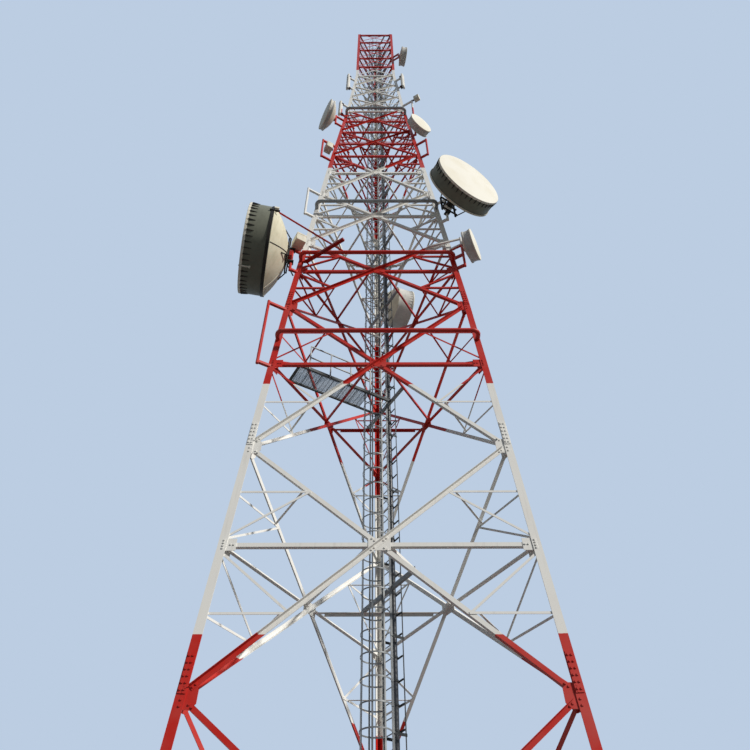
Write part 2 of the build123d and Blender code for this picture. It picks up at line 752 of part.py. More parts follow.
def catwalk_rail():
    """Handrail on the front edge of the catwalk: posts, a top rail and a knee rail."""
    seat = plan_seat(LOWER_NODES[2], LOWER_NODES[3])[0] + PLAN_WALL
    length = CATWALK_END - RAIL_INSET - CATWALK_START
    edge = -CATWALK_HALF_WIDTH - RAIL_SIZE / 2
    corner = (Align.MIN, Align.CENTER, Align.MIN)
    post = Box(RAIL_SIZE, RAIL_SIZE, RAIL_HEIGHT, align=corner)
    step = (length - RAIL_SIZE) / (RAIL_POSTS - 1)
    posts = [Pos(place * step, 0, 0) * post for place in range(RAIL_POSTS)]
    rail = Box(length, RAIL_SIZE, RAIL_SIZE, align=corner)
    rails = [Pos(0, 0, height) * rail for height in (RAIL_HEIGHT, RAIL_HEIGHT / 2)]
    return ladder_frame(Pos(RAIL_INSET - CATWALK_END, edge, seat) * (posts[0] + posts[1:] + rails))


def tube_front(height):
    """Distance in front of the axis of a tube's straight run."""
    return -side_at(height) / (2 * ROOT3) - TUBE_STAND_OFF


def tube(height):
    """Tube across the front face, clear of it, with its ends bent back to the legs."""
    face = Face(height)
    front = tube_front(height)
    corner = side_at(height) / 2 - TUBE_CORNER_INSET
    points = [
        (-corner, front + 2 * TUBE_STAND_OFF),
        (-corner, front + TUBE_BEND),
        (-corner + TUBE_BEND, front),
        (corner - TUBE_BEND, front),
        (corner, front + TUBE_BEND),
        (corner, front + 2 * TUBE_STAND_OFF),
    ]
    path = Polyline(*[(x, y, height) for x, y in points])
    section = Plane(origin=path @ 0, z_dir=path % 0) * RegularPolygon(TUBE_RADIUS, TUBE_SIDES)
    shape = sweep(section, path=path, transition=Transition.RIGHT)
    half = side_at(height)
    behind = [(-half, height - half), (half, height - half), (half, height + half), (-half, height + half)]
    return shape - face.plate(behind, -half, 0)


def flat_sided(radius, run):
    """Upright bar with a few flats round it."""
    return extrude(RegularPolygon(radius, TUBE_SIDES), amount=run)


def leg_corner(height):
    """Outer corner of the left leg."""
    return Vector(-side_at(height) / 2, -side_at(height) / (2 * ROOT3), height)


def leg_wedge(low, high):
    """The left leg with the room between its flanges filled, to cut saddles with."""
    heights = [low] + [height for height, _ in TAPER if low < height < high] + [high]
    faces = []
    for height in heights:
        corner = leg_corner(height)
        reach = leg_sizes(height)[0] * 3
        points = [corner, corner + Vector(reach, 0), corner + Vector(reach / 2, reach * ROOT3 / 2)]
        faces.append(make_face(Polyline(*points, close=True)))
    return loft(faces, ruled=True)


def pole_place(low, stand_off):
    """Foot of a pole that stands clear of the left leg, level with its lowest arm."""
    return leg_corner(low) + Vector(-ROOT3 / 2, -0.5) * stand_off


def pole_frame(low, high, stand_off):
    """Upright pole on two arms, each with a saddle on the left leg's corner."""
    place = pole_place(low, stand_off)
    run = high - low + 2 * POLE_OVERHANG
    shape = Pos(place.X, place.Y, low - POLE_OVERHANG) * flat_sided(POLE_RADIUS, run)
    for height in (low, high):
        reach = (leg_corner(height) - Vector(place.X, place.Y, height)).length + LEG_FLANGE / 2
        arm = Box(reach, ARM_SIZE, ARM_SIZE, align=(Align.MIN, Align.CENTER, Align.CENTER))
        shape += Pos(place.X, place.Y, height) * Rot(0, 0, LADDER_TURN) * arm
    return shape - leg_wedge(low - LEG_FLANGE, high + LEG_FLANGE)


def dish_plane(dish, distance):
    """Plane square to a dish's axis, at a distance from its pole."""
    place = pole_place(dish.height - dish.arm_below, dish.stand_off)
    pole = Rot(0, 0, LEG_TURNS[dish.leg]) * Pos(place.X, place.Y, dish.height)
    way = Vector(math.cos(math.radians(dish.aim)), math.sin(math.radians(dish.aim)), 0)
    return Plane(origin=pole.position + way * distance, x_dir=(-way.Y, way.X, 0), z_dir=way)


def bowl_length(dish):
    """Length of the bowl behind a dish's drum."""
    return (dish.reach - dish.depth) * (1 - DISH_HUB_SHARE) - POLE_RADIUS


def bowl_depth(dish, share):
    """How far behind the drum the parabolic back of a dish is, at a share of its radius."""
    return bowl_length(dish) * (1 - share**2) / (1 - DISH_HUB_RADIUS_SHARE**2)


def dish_sides(dish):
    """Number of flats round a dish."""
    return DISH_SIDES if dish.radius > SMALL_DISH_RADIUS else SMALL_DISH_SIDES


def stacked(sections, sides):
    """Solid with flats round it, a prism between each two (distance, radius) sections, none wider than the last."""
    prisms = []
    for (start, radius), (end, next_radius) in zip(sections, sections[1:]):
        run = end - start
        taper = math.degrees(math.atan((radius - next_radius) * math.cos(math.pi / sides) / run))
        prisms.append(Pos(0, 0, start) * extrude(RegularPolygon(radius, sides), amount=run, taper=taper))
    return prisms[0] + prisms[1:]


def drum(dish):
    """Dish with its deep shroud, the rings round its two ends and the parabolic bowl of its back."""
    sections = [(0, dish.radius), (dish.depth, dish.radius)]
    for share in DISH_BACK_SHARES:
        sections.append((dish.depth + bowl_depth(dish, share), dish.radius * share))
    shape = stacked(sections, dish_sides(dish))
    for start in (0, dish.depth - RIM_DEPTH):
        ring = RegularPolygon(dish.radius + RIM_LIP, dish_sides(dish))
        shape += Pos(0, 0, start) * extrude(ring, amount=RIM_DEPTH)
    return dish_plane(dish, dish.reach) * Rot(180, 0, 0) * shape


def radome(dish):
    """Cover over the front of a dish's shroud, bulging a little."""
    edge = dish.radius + RIM_LIP
    sections = [(0, edge), (RADOME_EDGE, edge), (RADOME_EDGE + RADOME_BULGE, edge * RADOME_FLAT_SHARE)]
    shape = stacked(sections, dish_sides(dish))
    return dish_plane(dish, dish.reach) * shape


def dish_mount(dish):
    """Pole on two saddle arms with a bracket to the hub of the dish."""
    low, high = dish.height - dish.arm_below, dish.height + dish.arm_above
    frame = Rot(0, 0, LEG_TURNS[dish.leg]) * pole_frame(low, high, dish.stand_off)
    gap = dish.reach - dish.depth - bowl_length(dish)
    bracket = flat_sided(dish.radius * DISH_MOUNT_SHARE, gap)
    return frame + dish_plane(dish, 0) * bracket


def dish_stay():
    """Rod from the back ring of the large left dish to a front tube."""
    dish = DISHES["big_dish_left"]
    turn = math.radians(STAY_RIM_ANGLE)
    rim = dish.radius + RIM_LIP + STAY_RADIUS / 2
    ring = dish_plane(dish, dish.reach - dish.depth + RIM_DEPTH / 2)
    start = ring.from_local_coords(Vector(rim * math.cos(turn), rim * math.sin(turn)))
    height = TUBE_HEIGHTS[STAY_TUBE]
    end = Vector(-STAY_TUBE_PLACE, tube_front(height), height)
    along = end - start
    rod = Plane(origin=start, z_dir=along) * flat_sided(STAY_RADIUS, along.length)
    return rod - drum(dish) - tube(height)


def outrigger():
    """Bar that juts out from the left leg under a front tube."""
    height = TUBE_HEIGHTS[STAY_TUBE] - TUBE_RADIUS - OUTRIGGER_DEPTH - PLAN_CLEARANCE
    corner = leg_corner(height)
    bar = Box(
        OUTRIGGER_LENGTH,
        OUTRIGGER_WIDTH,
        OUTRIGGER_DEPTH,
        align=(Align.MIN, Align.CENTER, Align.MIN),
    )
    place = Pos(corner.X + LEG_FLANGE / 2, corner.Y + LEG_FLANGE / 2, height)
    return place * Rot(0, 0, OUTRIGGER_TURN) * bar - leg_wedge(height - LEG_FLANGE, height + LEG_FLANGE)


def antenna(low, high, width, length):
    """Flat panel antenna on the outer side of a pole near the left leg."""
    seat = ANTENNA_STAND_OFF + POLE_RADIUS
    place = pole_place(low, seat)
    panel = Box(ANTENNA_DEPTH, width, length, align=(Align.MAX, Align.CENTER, Align.CENTER))
    return Pos(place.X, place.Y, (low + high) / 2) * Rot(0, 0, LADDER_TURN) * panel


def unit(leg_name, height, outwards, sideways, root, size):
    """Box beside a leg with the square bar that carries it, from the leg or from the pole of a dish."""
    corner = leg_corner(height)
    place = Pos(corner.X, corner.Y, height) * Rot(0, 0, LADDER_TURN)
    box = place * Pos(-outwards, -sideways, 0) * Box(*size)
    start = root if root else -LEG_FLANGE / 2
    swing = Rot(0, 0, math.degrees(math.atan2(sideways, outwards)))
    reach = math.hypot(outwards, sideways) - start
    bar = Box(reach, UNIT_BRACKET, UNIT_BRACKET, align=(Align.MAX, Align.CENTER, Align.CENTER))
    shape = box + place * swing * Pos(-start, 0, 0) * bar
    shape = Rot(0, 0, LEG_TURNS[leg_name]) * (shape - leg_wedge(height - size[2], height + size[2]))
    return shape - [dish_mount(dish) for dish in DISHES.values() if dish.leg == leg_name]


def build_inside():
    """Plan bracing, ladder, cage, beams, cable run and catwalk."""
    turns = FACE_TURNS.values()
    for name, spans in (("lower", PLAN_SPANS[:3]), ("upper", PLAN_SPANS[3:])):
        bars = [Rot(0, 0, turn) * plan_bar(*span) for span in spans for turn in turns]
        write(f"plan_bracing_{name}", together(bars))
    links = [
        Rot(0, 0, turn) * corner_link(*span, node)
        for span in zip(LOWER_NODES, LOWER_NODES[1:])
        for node in span
        for turn in turns
    ]
    write("corner_links", together(links))
    write("ladder_beams", together(ladder_beams()))
    write("ladder_side_rails", together(stiles()))
    write("ladder_rungs", together(rungs()))
    write("cage_hoops", together(hoops()))
    write("cage_strips", together(cage_strips()))
    write("cable_run", cable_run())
    frame, deck = catwalk()
    write("catwalk_frame", frame)
    write("catwalk_deck", deck)
    write("catwalk_rail", catwalk_rail())


def build_outside():
    """Tubes, poles, dishes, antennas and radio units."""
    write("front_tubes", together([tube(height) for height in TUBE_HEIGHTS]))
    frames = [
        Rot(0, 0, LEG_TURNS[leg_name]) * pole_frame(low, high, stand_off)
        for leg_name, low, high, stand_off in POLE_FRAMES
    ]
    write("pole_frames", together(frames))
    for name, dish in DISHES.items():
        if name.startswith("big"):
            write(name, drum(dish))
            write(f"{name}_radome", radome(dish))
        else:
            write(name, drum(dish) + radome(dish))
        write(f"{name}_mount", dish_mount(dish))
    write("dish_stay", dish_stay())
    write("outrigger", outrigger())
    poles = [
        Rot(0, 0, LEG_TURNS[leg_name]) * pole_frame(low, high, ANTENNA_STAND_OFF)
        for leg_name, low, high, _, _ in ANTENNAS
    ]
    write("antenna_mounts", together(poles))
    panels = [Rot(0, 0, LEG_TURNS[leg_name]) * antenna(*sizes) for leg_name, *sizes in ANTENNAS]
    write("panel_antennas", together(panels))
    write("radio_units", together([unit(*sizes) for sizes in UNITS]))


def main():
    os.makedirs("parts", exist_ok=True)
    build_legs()
    build_faces()
    build_inside()
    build_outside()


if __name__ == "__main__":
    main()
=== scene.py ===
"""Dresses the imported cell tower: banded paint on the lattice, drum dishes, caged ladder and fittings."""

import json
import math
from typing import NamedTuple

import bpy
import numpy as np
from bpy.props import FloatProperty, FloatVectorProperty, IntProperty, PointerProperty
from mathutils import Matrix, Vector


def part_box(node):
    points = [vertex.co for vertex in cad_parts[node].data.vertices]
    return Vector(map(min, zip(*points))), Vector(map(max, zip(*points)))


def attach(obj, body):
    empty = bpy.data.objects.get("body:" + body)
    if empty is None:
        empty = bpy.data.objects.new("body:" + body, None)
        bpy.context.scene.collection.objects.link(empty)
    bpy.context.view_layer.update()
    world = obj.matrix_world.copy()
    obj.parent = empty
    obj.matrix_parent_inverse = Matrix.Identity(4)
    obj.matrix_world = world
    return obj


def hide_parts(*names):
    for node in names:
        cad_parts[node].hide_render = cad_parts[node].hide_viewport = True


bl_info = {
    "name": "Cell Tower Dressing",
    "version": (1, 0, 0),
    "blender": (4, 5, 0),
    "location": "3D View > Sidebar > Tower",
    "description": "Paints the packed lattice tower and adds its dishes, ladder, cage and fittings",
    "category": "Add Mesh",
}

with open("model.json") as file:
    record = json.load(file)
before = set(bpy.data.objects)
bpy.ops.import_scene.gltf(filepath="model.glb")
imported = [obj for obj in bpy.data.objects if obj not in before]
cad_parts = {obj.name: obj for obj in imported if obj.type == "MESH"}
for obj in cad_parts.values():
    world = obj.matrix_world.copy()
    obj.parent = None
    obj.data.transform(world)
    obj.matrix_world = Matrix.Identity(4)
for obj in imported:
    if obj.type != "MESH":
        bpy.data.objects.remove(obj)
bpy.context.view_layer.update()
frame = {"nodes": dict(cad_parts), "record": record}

# The tower's triangle: height of each break in its taper, and the side there, corner to corner, in metres.
ROOT3 = math.sqrt(3)
TAPER_HEIGHTS = np.array([0.0, 9.0, 15.0, 18.0, 21.0, 25.0])
TAPER_SIDES = np.array([4.08, 2.975, 2.065, 1.56, 1.18, 1.18])
TOP = 25.0
FOOT_INSET = 0.05
AXIS_Y = FOOT_INSET - TAPER_SIDES[0] / ROOT3
FACE_TURNS = {"front": 0, "right": 120, "left": -120}
LEG_TURNS = {"left": 0, "right": 120, "rear": -120}
UP, FRONT = (0, 0, 1), (0, -1, 0)

# Levels where the braces of a face meet the legs.
LOWER_NODES = np.array([0.06, 3.0, 6.0, 9.0])
MIDDLE_NODES = np.linspace(9.0, 15.0, 4)
UPPER_NODES = np.concatenate([np.linspace(15.0, 18.0, 3), np.linspace(18.0, 21.0, 4)[1:]])
TOP_NODES = np.linspace(21.0, 25.0, 6)

# Sections of the lattice.
LEG_FLANGE, LEG_WALL = 0.095, 0.009
UPPER_LEG_FLANGE, UPPER_LEG_WALL = 0.08, 0.008
GUSSET_WALL = 0.006
BRACE_FLANGE, BRACE_WALL = 0.05, 0.005
UPPER_BRACE_FLANGE, UPPER_BRACE_WALL = 0.038, 0.004
BRACE_END_GAP = 0.012
SECONDARY_FLANGE, UPPER_SECONDARY_FLANGE = 0.03, 0.024
LEVEL_FLANGE, LIGHT_WALL, TIE_WIDTH = 0.042, 0.005, 0.024
BOLT_HEIGHT, COLUMN_HALF, SHORT_COLUMN_HALF, COLUMN_INSET = 0.009, 0.085, 0.05, 0.062
SPLICE_LEVELS, SPLICE_LENGTH, SPLICE_WIDTH, SPLICE_WALL = (3.02, 6.02, 9.02, 12.2), 0.38, 0.078, 0.007
SPLICE_BOLT_START, SPLICE_BOLT_PITCH, SPLICE_BOLT_ROWS, SPLICE_BOLT_INSETS = 0.035, 0.062, 6, (0.03, 0.066)

# Ladder, cage and feeder, in the ladder's own frame: X from the cage to the feeder.
LADDER_TURN = 30
STILE_X, STILE_DEPTH, LADDER_HALF_WIDTH = 0.085, 0.03, 0.1
LADDER_START, CAGE_START = 0.3, 1.25
CAGE_RADIUS, HOOP_WALL = 0.17, 0.004
CAGE_OPENING = math.asin(LADDER_HALF_WIDTH / CAGE_RADIUS)
CAGE_X = STILE_X - CAGE_RADIUS * math.cos(CAGE_OPENING)
STRIPS, STRIP_WIDTH, STRIP_WALL = 5, 0.02, 0.003
FEEDER_X, FEEDER_RADIUS, FEEDER_START = 0.1903, 0.037, 0.6
CLAMP_WALL = 0.006
DECK_START, DECK_END, DECK_HALF_WIDTH, DECK_ROD_PITCH = -1.43, -0.24, 0.184, 0.06

# Poles, round tubes, and what is hung outside the lattice.
POLE_RADIUS = 0.024
TUBE_HEIGHTS = (8.12, 10.35, 12.31, 17.66)
TUBE_RADIUS, TUBE_STAND_OFF, TUBE_BEND, TUBE_INSET = 0.035, 0.175, 0.09, 0.042
ANTENNA_SEAT, ANTENNA_DEPTH = 0.105 + POLE_RADIUS, 0.055
RIM_LIP, RIM_DEPTH = 0.012, 0.022
HUB_SHARE, HUB_RADIUS_SHARE, FRAME_SHARE = 0.16, 0.2, 0.34
LARGE_RADIUS, LARGE_HEM, SMALL_HEM, SMALL_CLIP_PITCH = 0.5, 0.04, RIM_DEPTH * 0.8, 0.07
# Meridians of a large dish's dark seams, and of the ivory strip low on its back, which is a seam and also a
# painted highlight along the back's lit lower edge.
SEAM_TURNS, SEAM_HIGHLIGHT_TURN = (-43, 137), -108
PIN_TURN, LUG_TURN, STAY_CLAMP_TURN, STRUT_HEIGHT = -77, 15, 7, 9.86

# The photograph's camera: its place from the tower's axis, its angles, and its focal length in widths.
CAMERA_PLACE = (-0.042, -7.1175, 0.903)
CAMERA_PITCH, CAMERA_YAW, CAMERA_ROLL = math.radians(45.99), math.radians(0.085), -0.00313
CAMERA_FOCUS, SENSOR_WIDTH = 632.7 / 750, 36.0

# The studio: its floor, its sun, and how much light its sky gives.
FLOOR_RADIUS, FLOOR_SIDES, FLOOR_HEIGHT = 160.0, 96, -0.002
SUN_STRENGTH, SUN_ANGLE, SUN_TILT, SUN_TURN = 3.65, math.radians(5), math.radians(56), math.radians(57)
SKY_SHOWN, SKY_GLOW = 1.0, 0.23


class Dish(NamedTuple):
    """A drum dish on a pole: leg, height, aim in degrees, sizes, and how its pole stands."""

    leg: str
    height: float
    aim: float
    radius: float
    depth: float
    reach: float
    stand_off: float
    arm_below: float

    @property
    def large(self):
        """Whether it is one of the two large dishes."""
        return self.radius > LARGE_RADIUS


DISHES = {
    "big_dish_left": Dish("left", 10.39, 192, 0.778, 0.426, 0.82, 0.105, 0.39),
    "big_dish_right": Dish("right", 12.15, -59, 0.674, 0.318, 0.755, 0.11, 0.37),
    "dish_right": Dish("right", 10.58, -26, 0.282, 0.15, 0.245, 0.165, 0.155),
    "dish_upper_left": Dish("left", 17.035, 208, 0.38, 0.095, 0.3, 0.165, 0.21),
    "dish_upper_right": Dish("right", 16.43, -54, 0.295, 0.165, 0.24, 0.05, 0.23),
    "dish_rear": Dish("rear", 12.3, 20, 0.45, 0.35, 0.735, 0.165, 0.25),
    "dish_top": Dish("right", 22.475, 10, 0.27, 0.15, 0.23, 0.165, 0.15),
}
# How deep the back of a dish is, as a share of its radius, where the photograph shows it flatter.
FLAT_BACKS = {"big_dish_right": 0.2}


# Shapes. A shape is its vertices, as one array, and a list of face arrays, one for each number of corners.


def side_at(height):
    """Side of the tower's triangle, interpolated between the breaks of its taper."""
    return np.interp(height, TAPER_HEIGHTS, TAPER_SIDES)


def spots(x, y, z):
    """Points from their three coordinates, each a number or an array."""
    return np.stack(np.broadcast_arrays(*(np.asarray(v, float) for v in (x, y, z))), -1)


def outward(shape):
    """Reverses every face if the closed shape's volume, summed over fans of triangles, is negative."""
    points, faces = shape
    volume = 0.0
    for group in faces:
        first = points[group[:, 0]]
        for step in range(1, group.shape[1] - 1):
            edges = np.cross(points[group[:, step]], points[group[:, step + 1]])
            volume += (first * edges).sum()
    return (points, faces) if volume >= 0 else (points, [group[:, ::-1] for group in faces])


def joined(shapes):
    """Several shapes as one, each face's numbers raised by the count of points before it."""
    points, faces, count = [], [], 0
    for shape_points, shape_faces in shapes:
        points.append(shape_points)
        faces += [group + count for group in shape_faces]
        count += len(shape_points)
    return np.concatenate(points), faces


def through_rings(rings, closed=False):
    """Closed surface on a grid of points: quads from ring to ring, and a cap on each open end."""
    rows, columns = rings.shape[:2]
    index = np.arange(rows * columns).reshape(rows, columns)
    onward = index if closed else index[:-1]
    ahead = np.roll(index, -1, 0) if closed else index[1:]
    quads = np.stack([onward, np.roll(onward, -1, 1), np.roll(ahead, -1, 1), ahead], -1).reshape(-1, 4)
    faces = [quads] if closed else [quads, index[:1, ::-1], index[-1:]]
    return outward((rings.reshape(-1, 3), faces))


def stacked(outlines, heights):
    """Closed surface through flat outlines with as many corners each, every one at its own height."""
    flat = np.asarray(outlines, float)
    level = np.broadcast_to(np.reshape(heights, (-1, 1, 1)), (*flat.shape[:2], 1))
    return through_rings(np.concatenate([flat, level], 2))


def box_outline(width, depth, across=0.0, out=0.0):
    """Corners of a rectangle about a middle point."""
    return np.array([(-1, -1), (1, -1), (1, 1), (-1, 1)]) * (width / 2, depth / 2) + (across, out)


def ways_at(turn):
    """Level ways at angles from X, in radians: their cosine along X and their sine along Y."""
    return spots(np.cos(turn), np.sin(turn), 0)


def circle(radius, sides):
    """Corners of a regular polygon: radius times the ways at equal steps of a turn."""
    return radius * ways_at(np.arange(sides) * 2 * np.pi / sides)[:, :2]


def angle_section(size, wall):
    """Outline of an angle: one flange along X on the outer side, one inwards from its low end."""
    half = size / 2
    return [(-half, 0), (-half, -size), (wall - half, -size), (wall - half, -wall), (half, -wall), (half, 0)]


def revolved(profile, sides):
    """Surface of revolution about Z: each (distance, radius) point of the profile becomes a ring."""
    distance, radius = np.asarray(profile, float).T
    return stacked(radius[:, None, None] * circle(1.0, sides), distance)


def unit(rows):
    """Each row divided by its length."""
    return rows / np.maximum(np.linalg.norm(rows, axis=1, keepdims=True), 1e-12)


def carried(outline, path, up, closed=False):
    """An outline carried along a path: its X along tangent cross up, wider at a bend, and its Y along up."""
    ends = (path[-1], path[0]) if closed else (2 * path[0] - path[1], 2 * path[-1] - path[-2])
    steps = unit(np.diff([ends[0], *path, ends[1]], axis=0))
    tangent = unit(steps[1:] + steps[:-1])
    stretch = 1 / np.maximum((tangent * steps[1:]).sum(1), 0.5)
    aside = unit(np.cross(tangent, up))
    lift = np.cross(aside, tangent)
    rings = path[:, None] + outline[:, :1] * (aside * stretch[:, None])[:, None]
    return through_rings(rings + outline[:, 1:] * lift[:, None], closed)


def stamped(shape, origins, axes):
    """A shape repeated at many places: its points times each place's three axes, plus its origin."""
    points, faces = shape
    spread = np.einsum("pk,nkj->npj", points, axes) + origins[:, None]
    step = np.arange(len(origins))[:, None, None] * len(points)
    return spread.reshape(-1, 3), [(group + step).reshape(-1, group.shape[1]) for group in faces]


def repeated(shape, places):
    """The shape at many places, all the same way round."""
    return stamped(shape, places, np.broadcast_to(np.eye(3), (len(places), 3, 3)))


def axes_along(ways, up=UP):
    """Axes for stamping: Z along each way at its own length, Y near up, X square to both."""
    aside = unit(np.cross(up, ways))
    return np.stack([aside, unit(np.cross(ways, aside)), ways], 1)


def bars(outline, starts, ends, up=UP):
    """Straight bars of one section from start points to end points, the section's Y near up."""
    starts, ends = np.atleast_2d(starts), np.atleast_2d(ends)
    return stamped(stacked([outline, outline], [0, 1]), starts, axes_along(ends - starts, up))


def spun(points, degrees):
    """Points turned about Z: X and Y mixed by the cosine and sine of the angle."""
    c, s = math.cos(math.radians(degrees)), math.sin(math.radians(degrees))
    return points @ np.array([(c, s, 0), (-s, c, 0), (0, 0, 1)])


def turned(shape, degrees):
    """The shape turned about Z."""
    return spun(shape[0], degrees), shape[1]


def lifted(shape, offset):
    """The shape moved by an offset."""
    return shape[0] + np.asarray(offset), shape[1]


def set_on(shape, origin, way):
    """The shape with its Z turned along a way and its origin at a point."""
    return stamped(shape, origin[None], axes_along(way[None]))


def mirrored_across(shape):
    """The shape on the other side of the face's middle, its faces turned round again."""
    points, faces = shape
    return points * (-1, 1, 1), [group[:, ::-1] for group in faces]


def on_both_sides(shape):
    """The shape on the left and the right half of a face."""
    return joined([shape, mirrored_across(shape)])


def on_three(shape):
    """The shape on all three faces of the tower."""
    return joined([turned(shape, turn) for turn in FACE_TURNS.values()])


def face_points(across, height, out):
    """Points of the front face: across, up its lean, and out along its normal."""
    step = 1e-4
    lean = (side_at(height - step) - side_at(height + step)) / (2 * step) / (2 * ROOT3)
    stretch = np.sqrt(1 + lean**2)
    y = -side_at(height) / (2 * ROOT3) - out / stretch
    return spots(across, y, height + out * lean / stretch)


def corner(height, stand_off=0.0):
    """Outer corner of the front left leg, or a point that far out from it, away from the axis."""
    reach = side_at(height) / ROOT3 + stand_off
    return np.array([-reach * ROOT3 / 2, -reach / 2, height])


def at_leg(shape, leg, origin):
    """A shape drawn along X towards the axis from a point of the left leg, set at the named leg."""
    return turned(lifted(turned(shape, LADDER_TURN), origin), LEG_TURNS[leg])


def spans(nodes):
    """Panels between levels, each as its low and its high end."""
    return list(zip(nodes, nodes[1:]))


def crossing(low, high):
    """Height where a panel's diagonals cross: its height shared as the sides at its ends."""
    return low + (high - low) * side_at(low) / (side_at(low) + side_at(high))


# Pieces.


def in_scene(name, data):
    """A new object of the scene, at the origin."""
    made = bpy.data.objects.new(name, data)
    bpy.context.scene.collection.objects.link(made)
    return made


def piece(name, shape, finish, replaces=(), smooth=None):
    """Makes a mesh object of a shape drawn about the tower's axis, riding on the root body."""
    points, faces = shape
    mesh = bpy.data.meshes.new(name)
    mesh.from_pydata(points + (0, AXIS_Y, 0), [], [face for group in faces for face in group.tolist()])
    mesh.validate()
    mesh.materials.append(finishes()[finish])
    if smooth is not None:
        mesh.shade_smooth()
        mesh.set_sharp_from_angle(angle=math.radians(smooth))
    made = in_scene(name, mesh)
    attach(made, "root")
    if replaces:
        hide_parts(*replaces)
    return made


def bolt_heads(points, radius):
    """Hexagon heads on washers, profiles turned in six steps, along the front face's normal."""
    washer, under = radius * 1.35, BOLT_HEIGHT * 0.25
    head = revolved([(0, washer), (under, washer), (under, radius), (BOLT_HEIGHT, radius)], 6)
    across, _, height = points.T
    ahead = face_points(across, height, 1.0) - face_points(across, height, 0.0)
    return stamped(head, points, axes_along(ahead))


# Materials.


def linear(colour):
    """Linear RGBA of an sRGB hex colour such as #B5231F."""
    parts = [int(colour[place : place + 2], 16) / 255 for place in (1, 3, 5)]
    return [p / 12.92 if p <= 0.04045 else ((p + 0.055) / 1.055) ** 2.4 for p in parts] + [1.0]


def node(tree, kind, inputs=(), **settings):
    """Adds one shader node with its settings; each input gets a value, or a link from another's output."""
    made = tree.nodes.new(kind)
    for name, value in settings.items():
        setattr(made, name, value)
    for socket, value in dict(inputs).items():
        if isinstance(value, bpy.types.NodeSocket):
            tree.links.new(value, made.inputs[socket])
        else:
            made.inputs[socket].default_value = value
    return made


def start_material(name):
    """An empty node material, and the socket of its object coordinates."""
    material = bpy.data.materials.new(name)
    material.use_nodes = True
    material.node_tree.nodes.clear()
    return material, node(material.node_tree, "ShaderNodeTexCoord").outputs["Object"]


def finished(material, inputs):
    """The material with one principled shader, fed with these inputs, on its output."""
    tree = material.node_tree
    shader = node(tree, "ShaderNodeBsdfPrincipled", inputs)
    node(tree, "ShaderNodeOutputMaterial", {"Surface": shader.outputs["BSDF"]})
    return material


def noise(place, scale, detail):
    """Noise pattern with patches about 1 / scale metres long."""
    inputs = {"Scale": scale, "Detail": detail, "Vector": place}
    return node(place.id_data, "ShaderNodeTexNoise", inputs).outputs["Fac"]


def ramped(value, low, high, most, least=0.0):
    """A value's range from low to high stretched to least to most, and kept inside it."""
    inputs = {"Value": value, "From Min": low, "From Max": high, "To Min": least, "To Max": most}
    return node(value.id_data, "ShaderNodeMapRange", inputs).outputs["Result"]


def reckoned(operation, *terms):
    """One sum on a link and further links or values."""
    return node(terms[0].id_data, "ShaderNodeMath", dict(enumerate(terms)), operation=operation).outputs[0]


def mixed(share, first, second):
    """Colour a share of the way from the first to the second."""
    inputs = {"Factor": share, 6: first, 7: second}
    return node(share.id_data, "ShaderNodeMix", inputs, data_type="RGBA").outputs[2]


def mottled(place, base, dark, scale, contrast, detail=4.0):
    """Base colour pulled towards another one where a noise pattern is high."""
    return mixed(ramped(noise(place, scale, detail), 0.42, 0.72, contrast), base, dark)


def dusted(place, base, dust, across, along, low, most):
    """Dust as rain draws it down a surface: noise stretched along Z, where it is high."""
    drawn = node(place.id_data, "ShaderNodeMapping", {"Scale": (across, across, along), "Vector": place})
    return mixed(ramped(noise(drawn.outputs["Vector"], 1.0, 5.0), low, 0.8, most), base, dust)


def relief(height, strength, distance):
    """Bump from a pattern."""
    inputs = {"Strength": strength, "Distance": distance, "Height": height}
    return node(height.id_data, "ShaderNodeBump", inputs).outputs["Normal"]


def level_waves(place, scale, distortion):
    """Waves along Z, which at scale 1 repeat every 314 mm."""
    inputs = {"Scale": scale, "Distortion": distortion, "Vector": place}
    return node(place.id_data, "ShaderNodeTexWave", inputs, bands_direction="Z").outputs["Fac"]


def aviation_enamel(colours):
    """Alkyd enamel brushed over galvanised steel in bands. The eye sees a satin coat, its colour changing
    along slightly uneven lines, chalked in patches, with faint runs of dust and a brushed unevenness."""
    material, place = start_material("alkyd_enamel_banded")
    height = node(place.id_data, "ShaderNodeSeparateXYZ", {"Vector": place}).outputs["Z"]
    # The line between two bands wanders by about 6 mm every 60 mm, as from a brush.
    shift = reckoned("MULTIPLY_ADD", noise(place, 1 / 0.06, 1.0), 0.012, -0.006)
    kept = reckoned("MINIMUM", reckoned("ADD", height, shift), TOP - 0.001)
    band = reckoned("FLOOR", reckoned("MULTIPLY", kept, colours.bands / TOP))
    paint = mixed(reckoned("MODULO", band, 2.0), (*colours.red, 1), (*colours.white, 1))
    # Chalked patches about 0.4 m long, paler on the red and greyer on the white.
    chalked = mottled(place, paint, linear("#C9B7AC"), 1 / 0.4, 0.1)
    colour = dusted(place, chalked, linear("#6E625A"), 30.0, 1.4, 0.55, 0.16)
    brushed = relief(noise(place, 1 / 0.05, 3.0), 0.05, 0.002)
    gloss = {"Roughness": 0.45, "IOR": 1.5, "Specular IOR Level": 0.22}
    return finished(material, {"Base Color": colour, "Normal": brushed, **gloss})


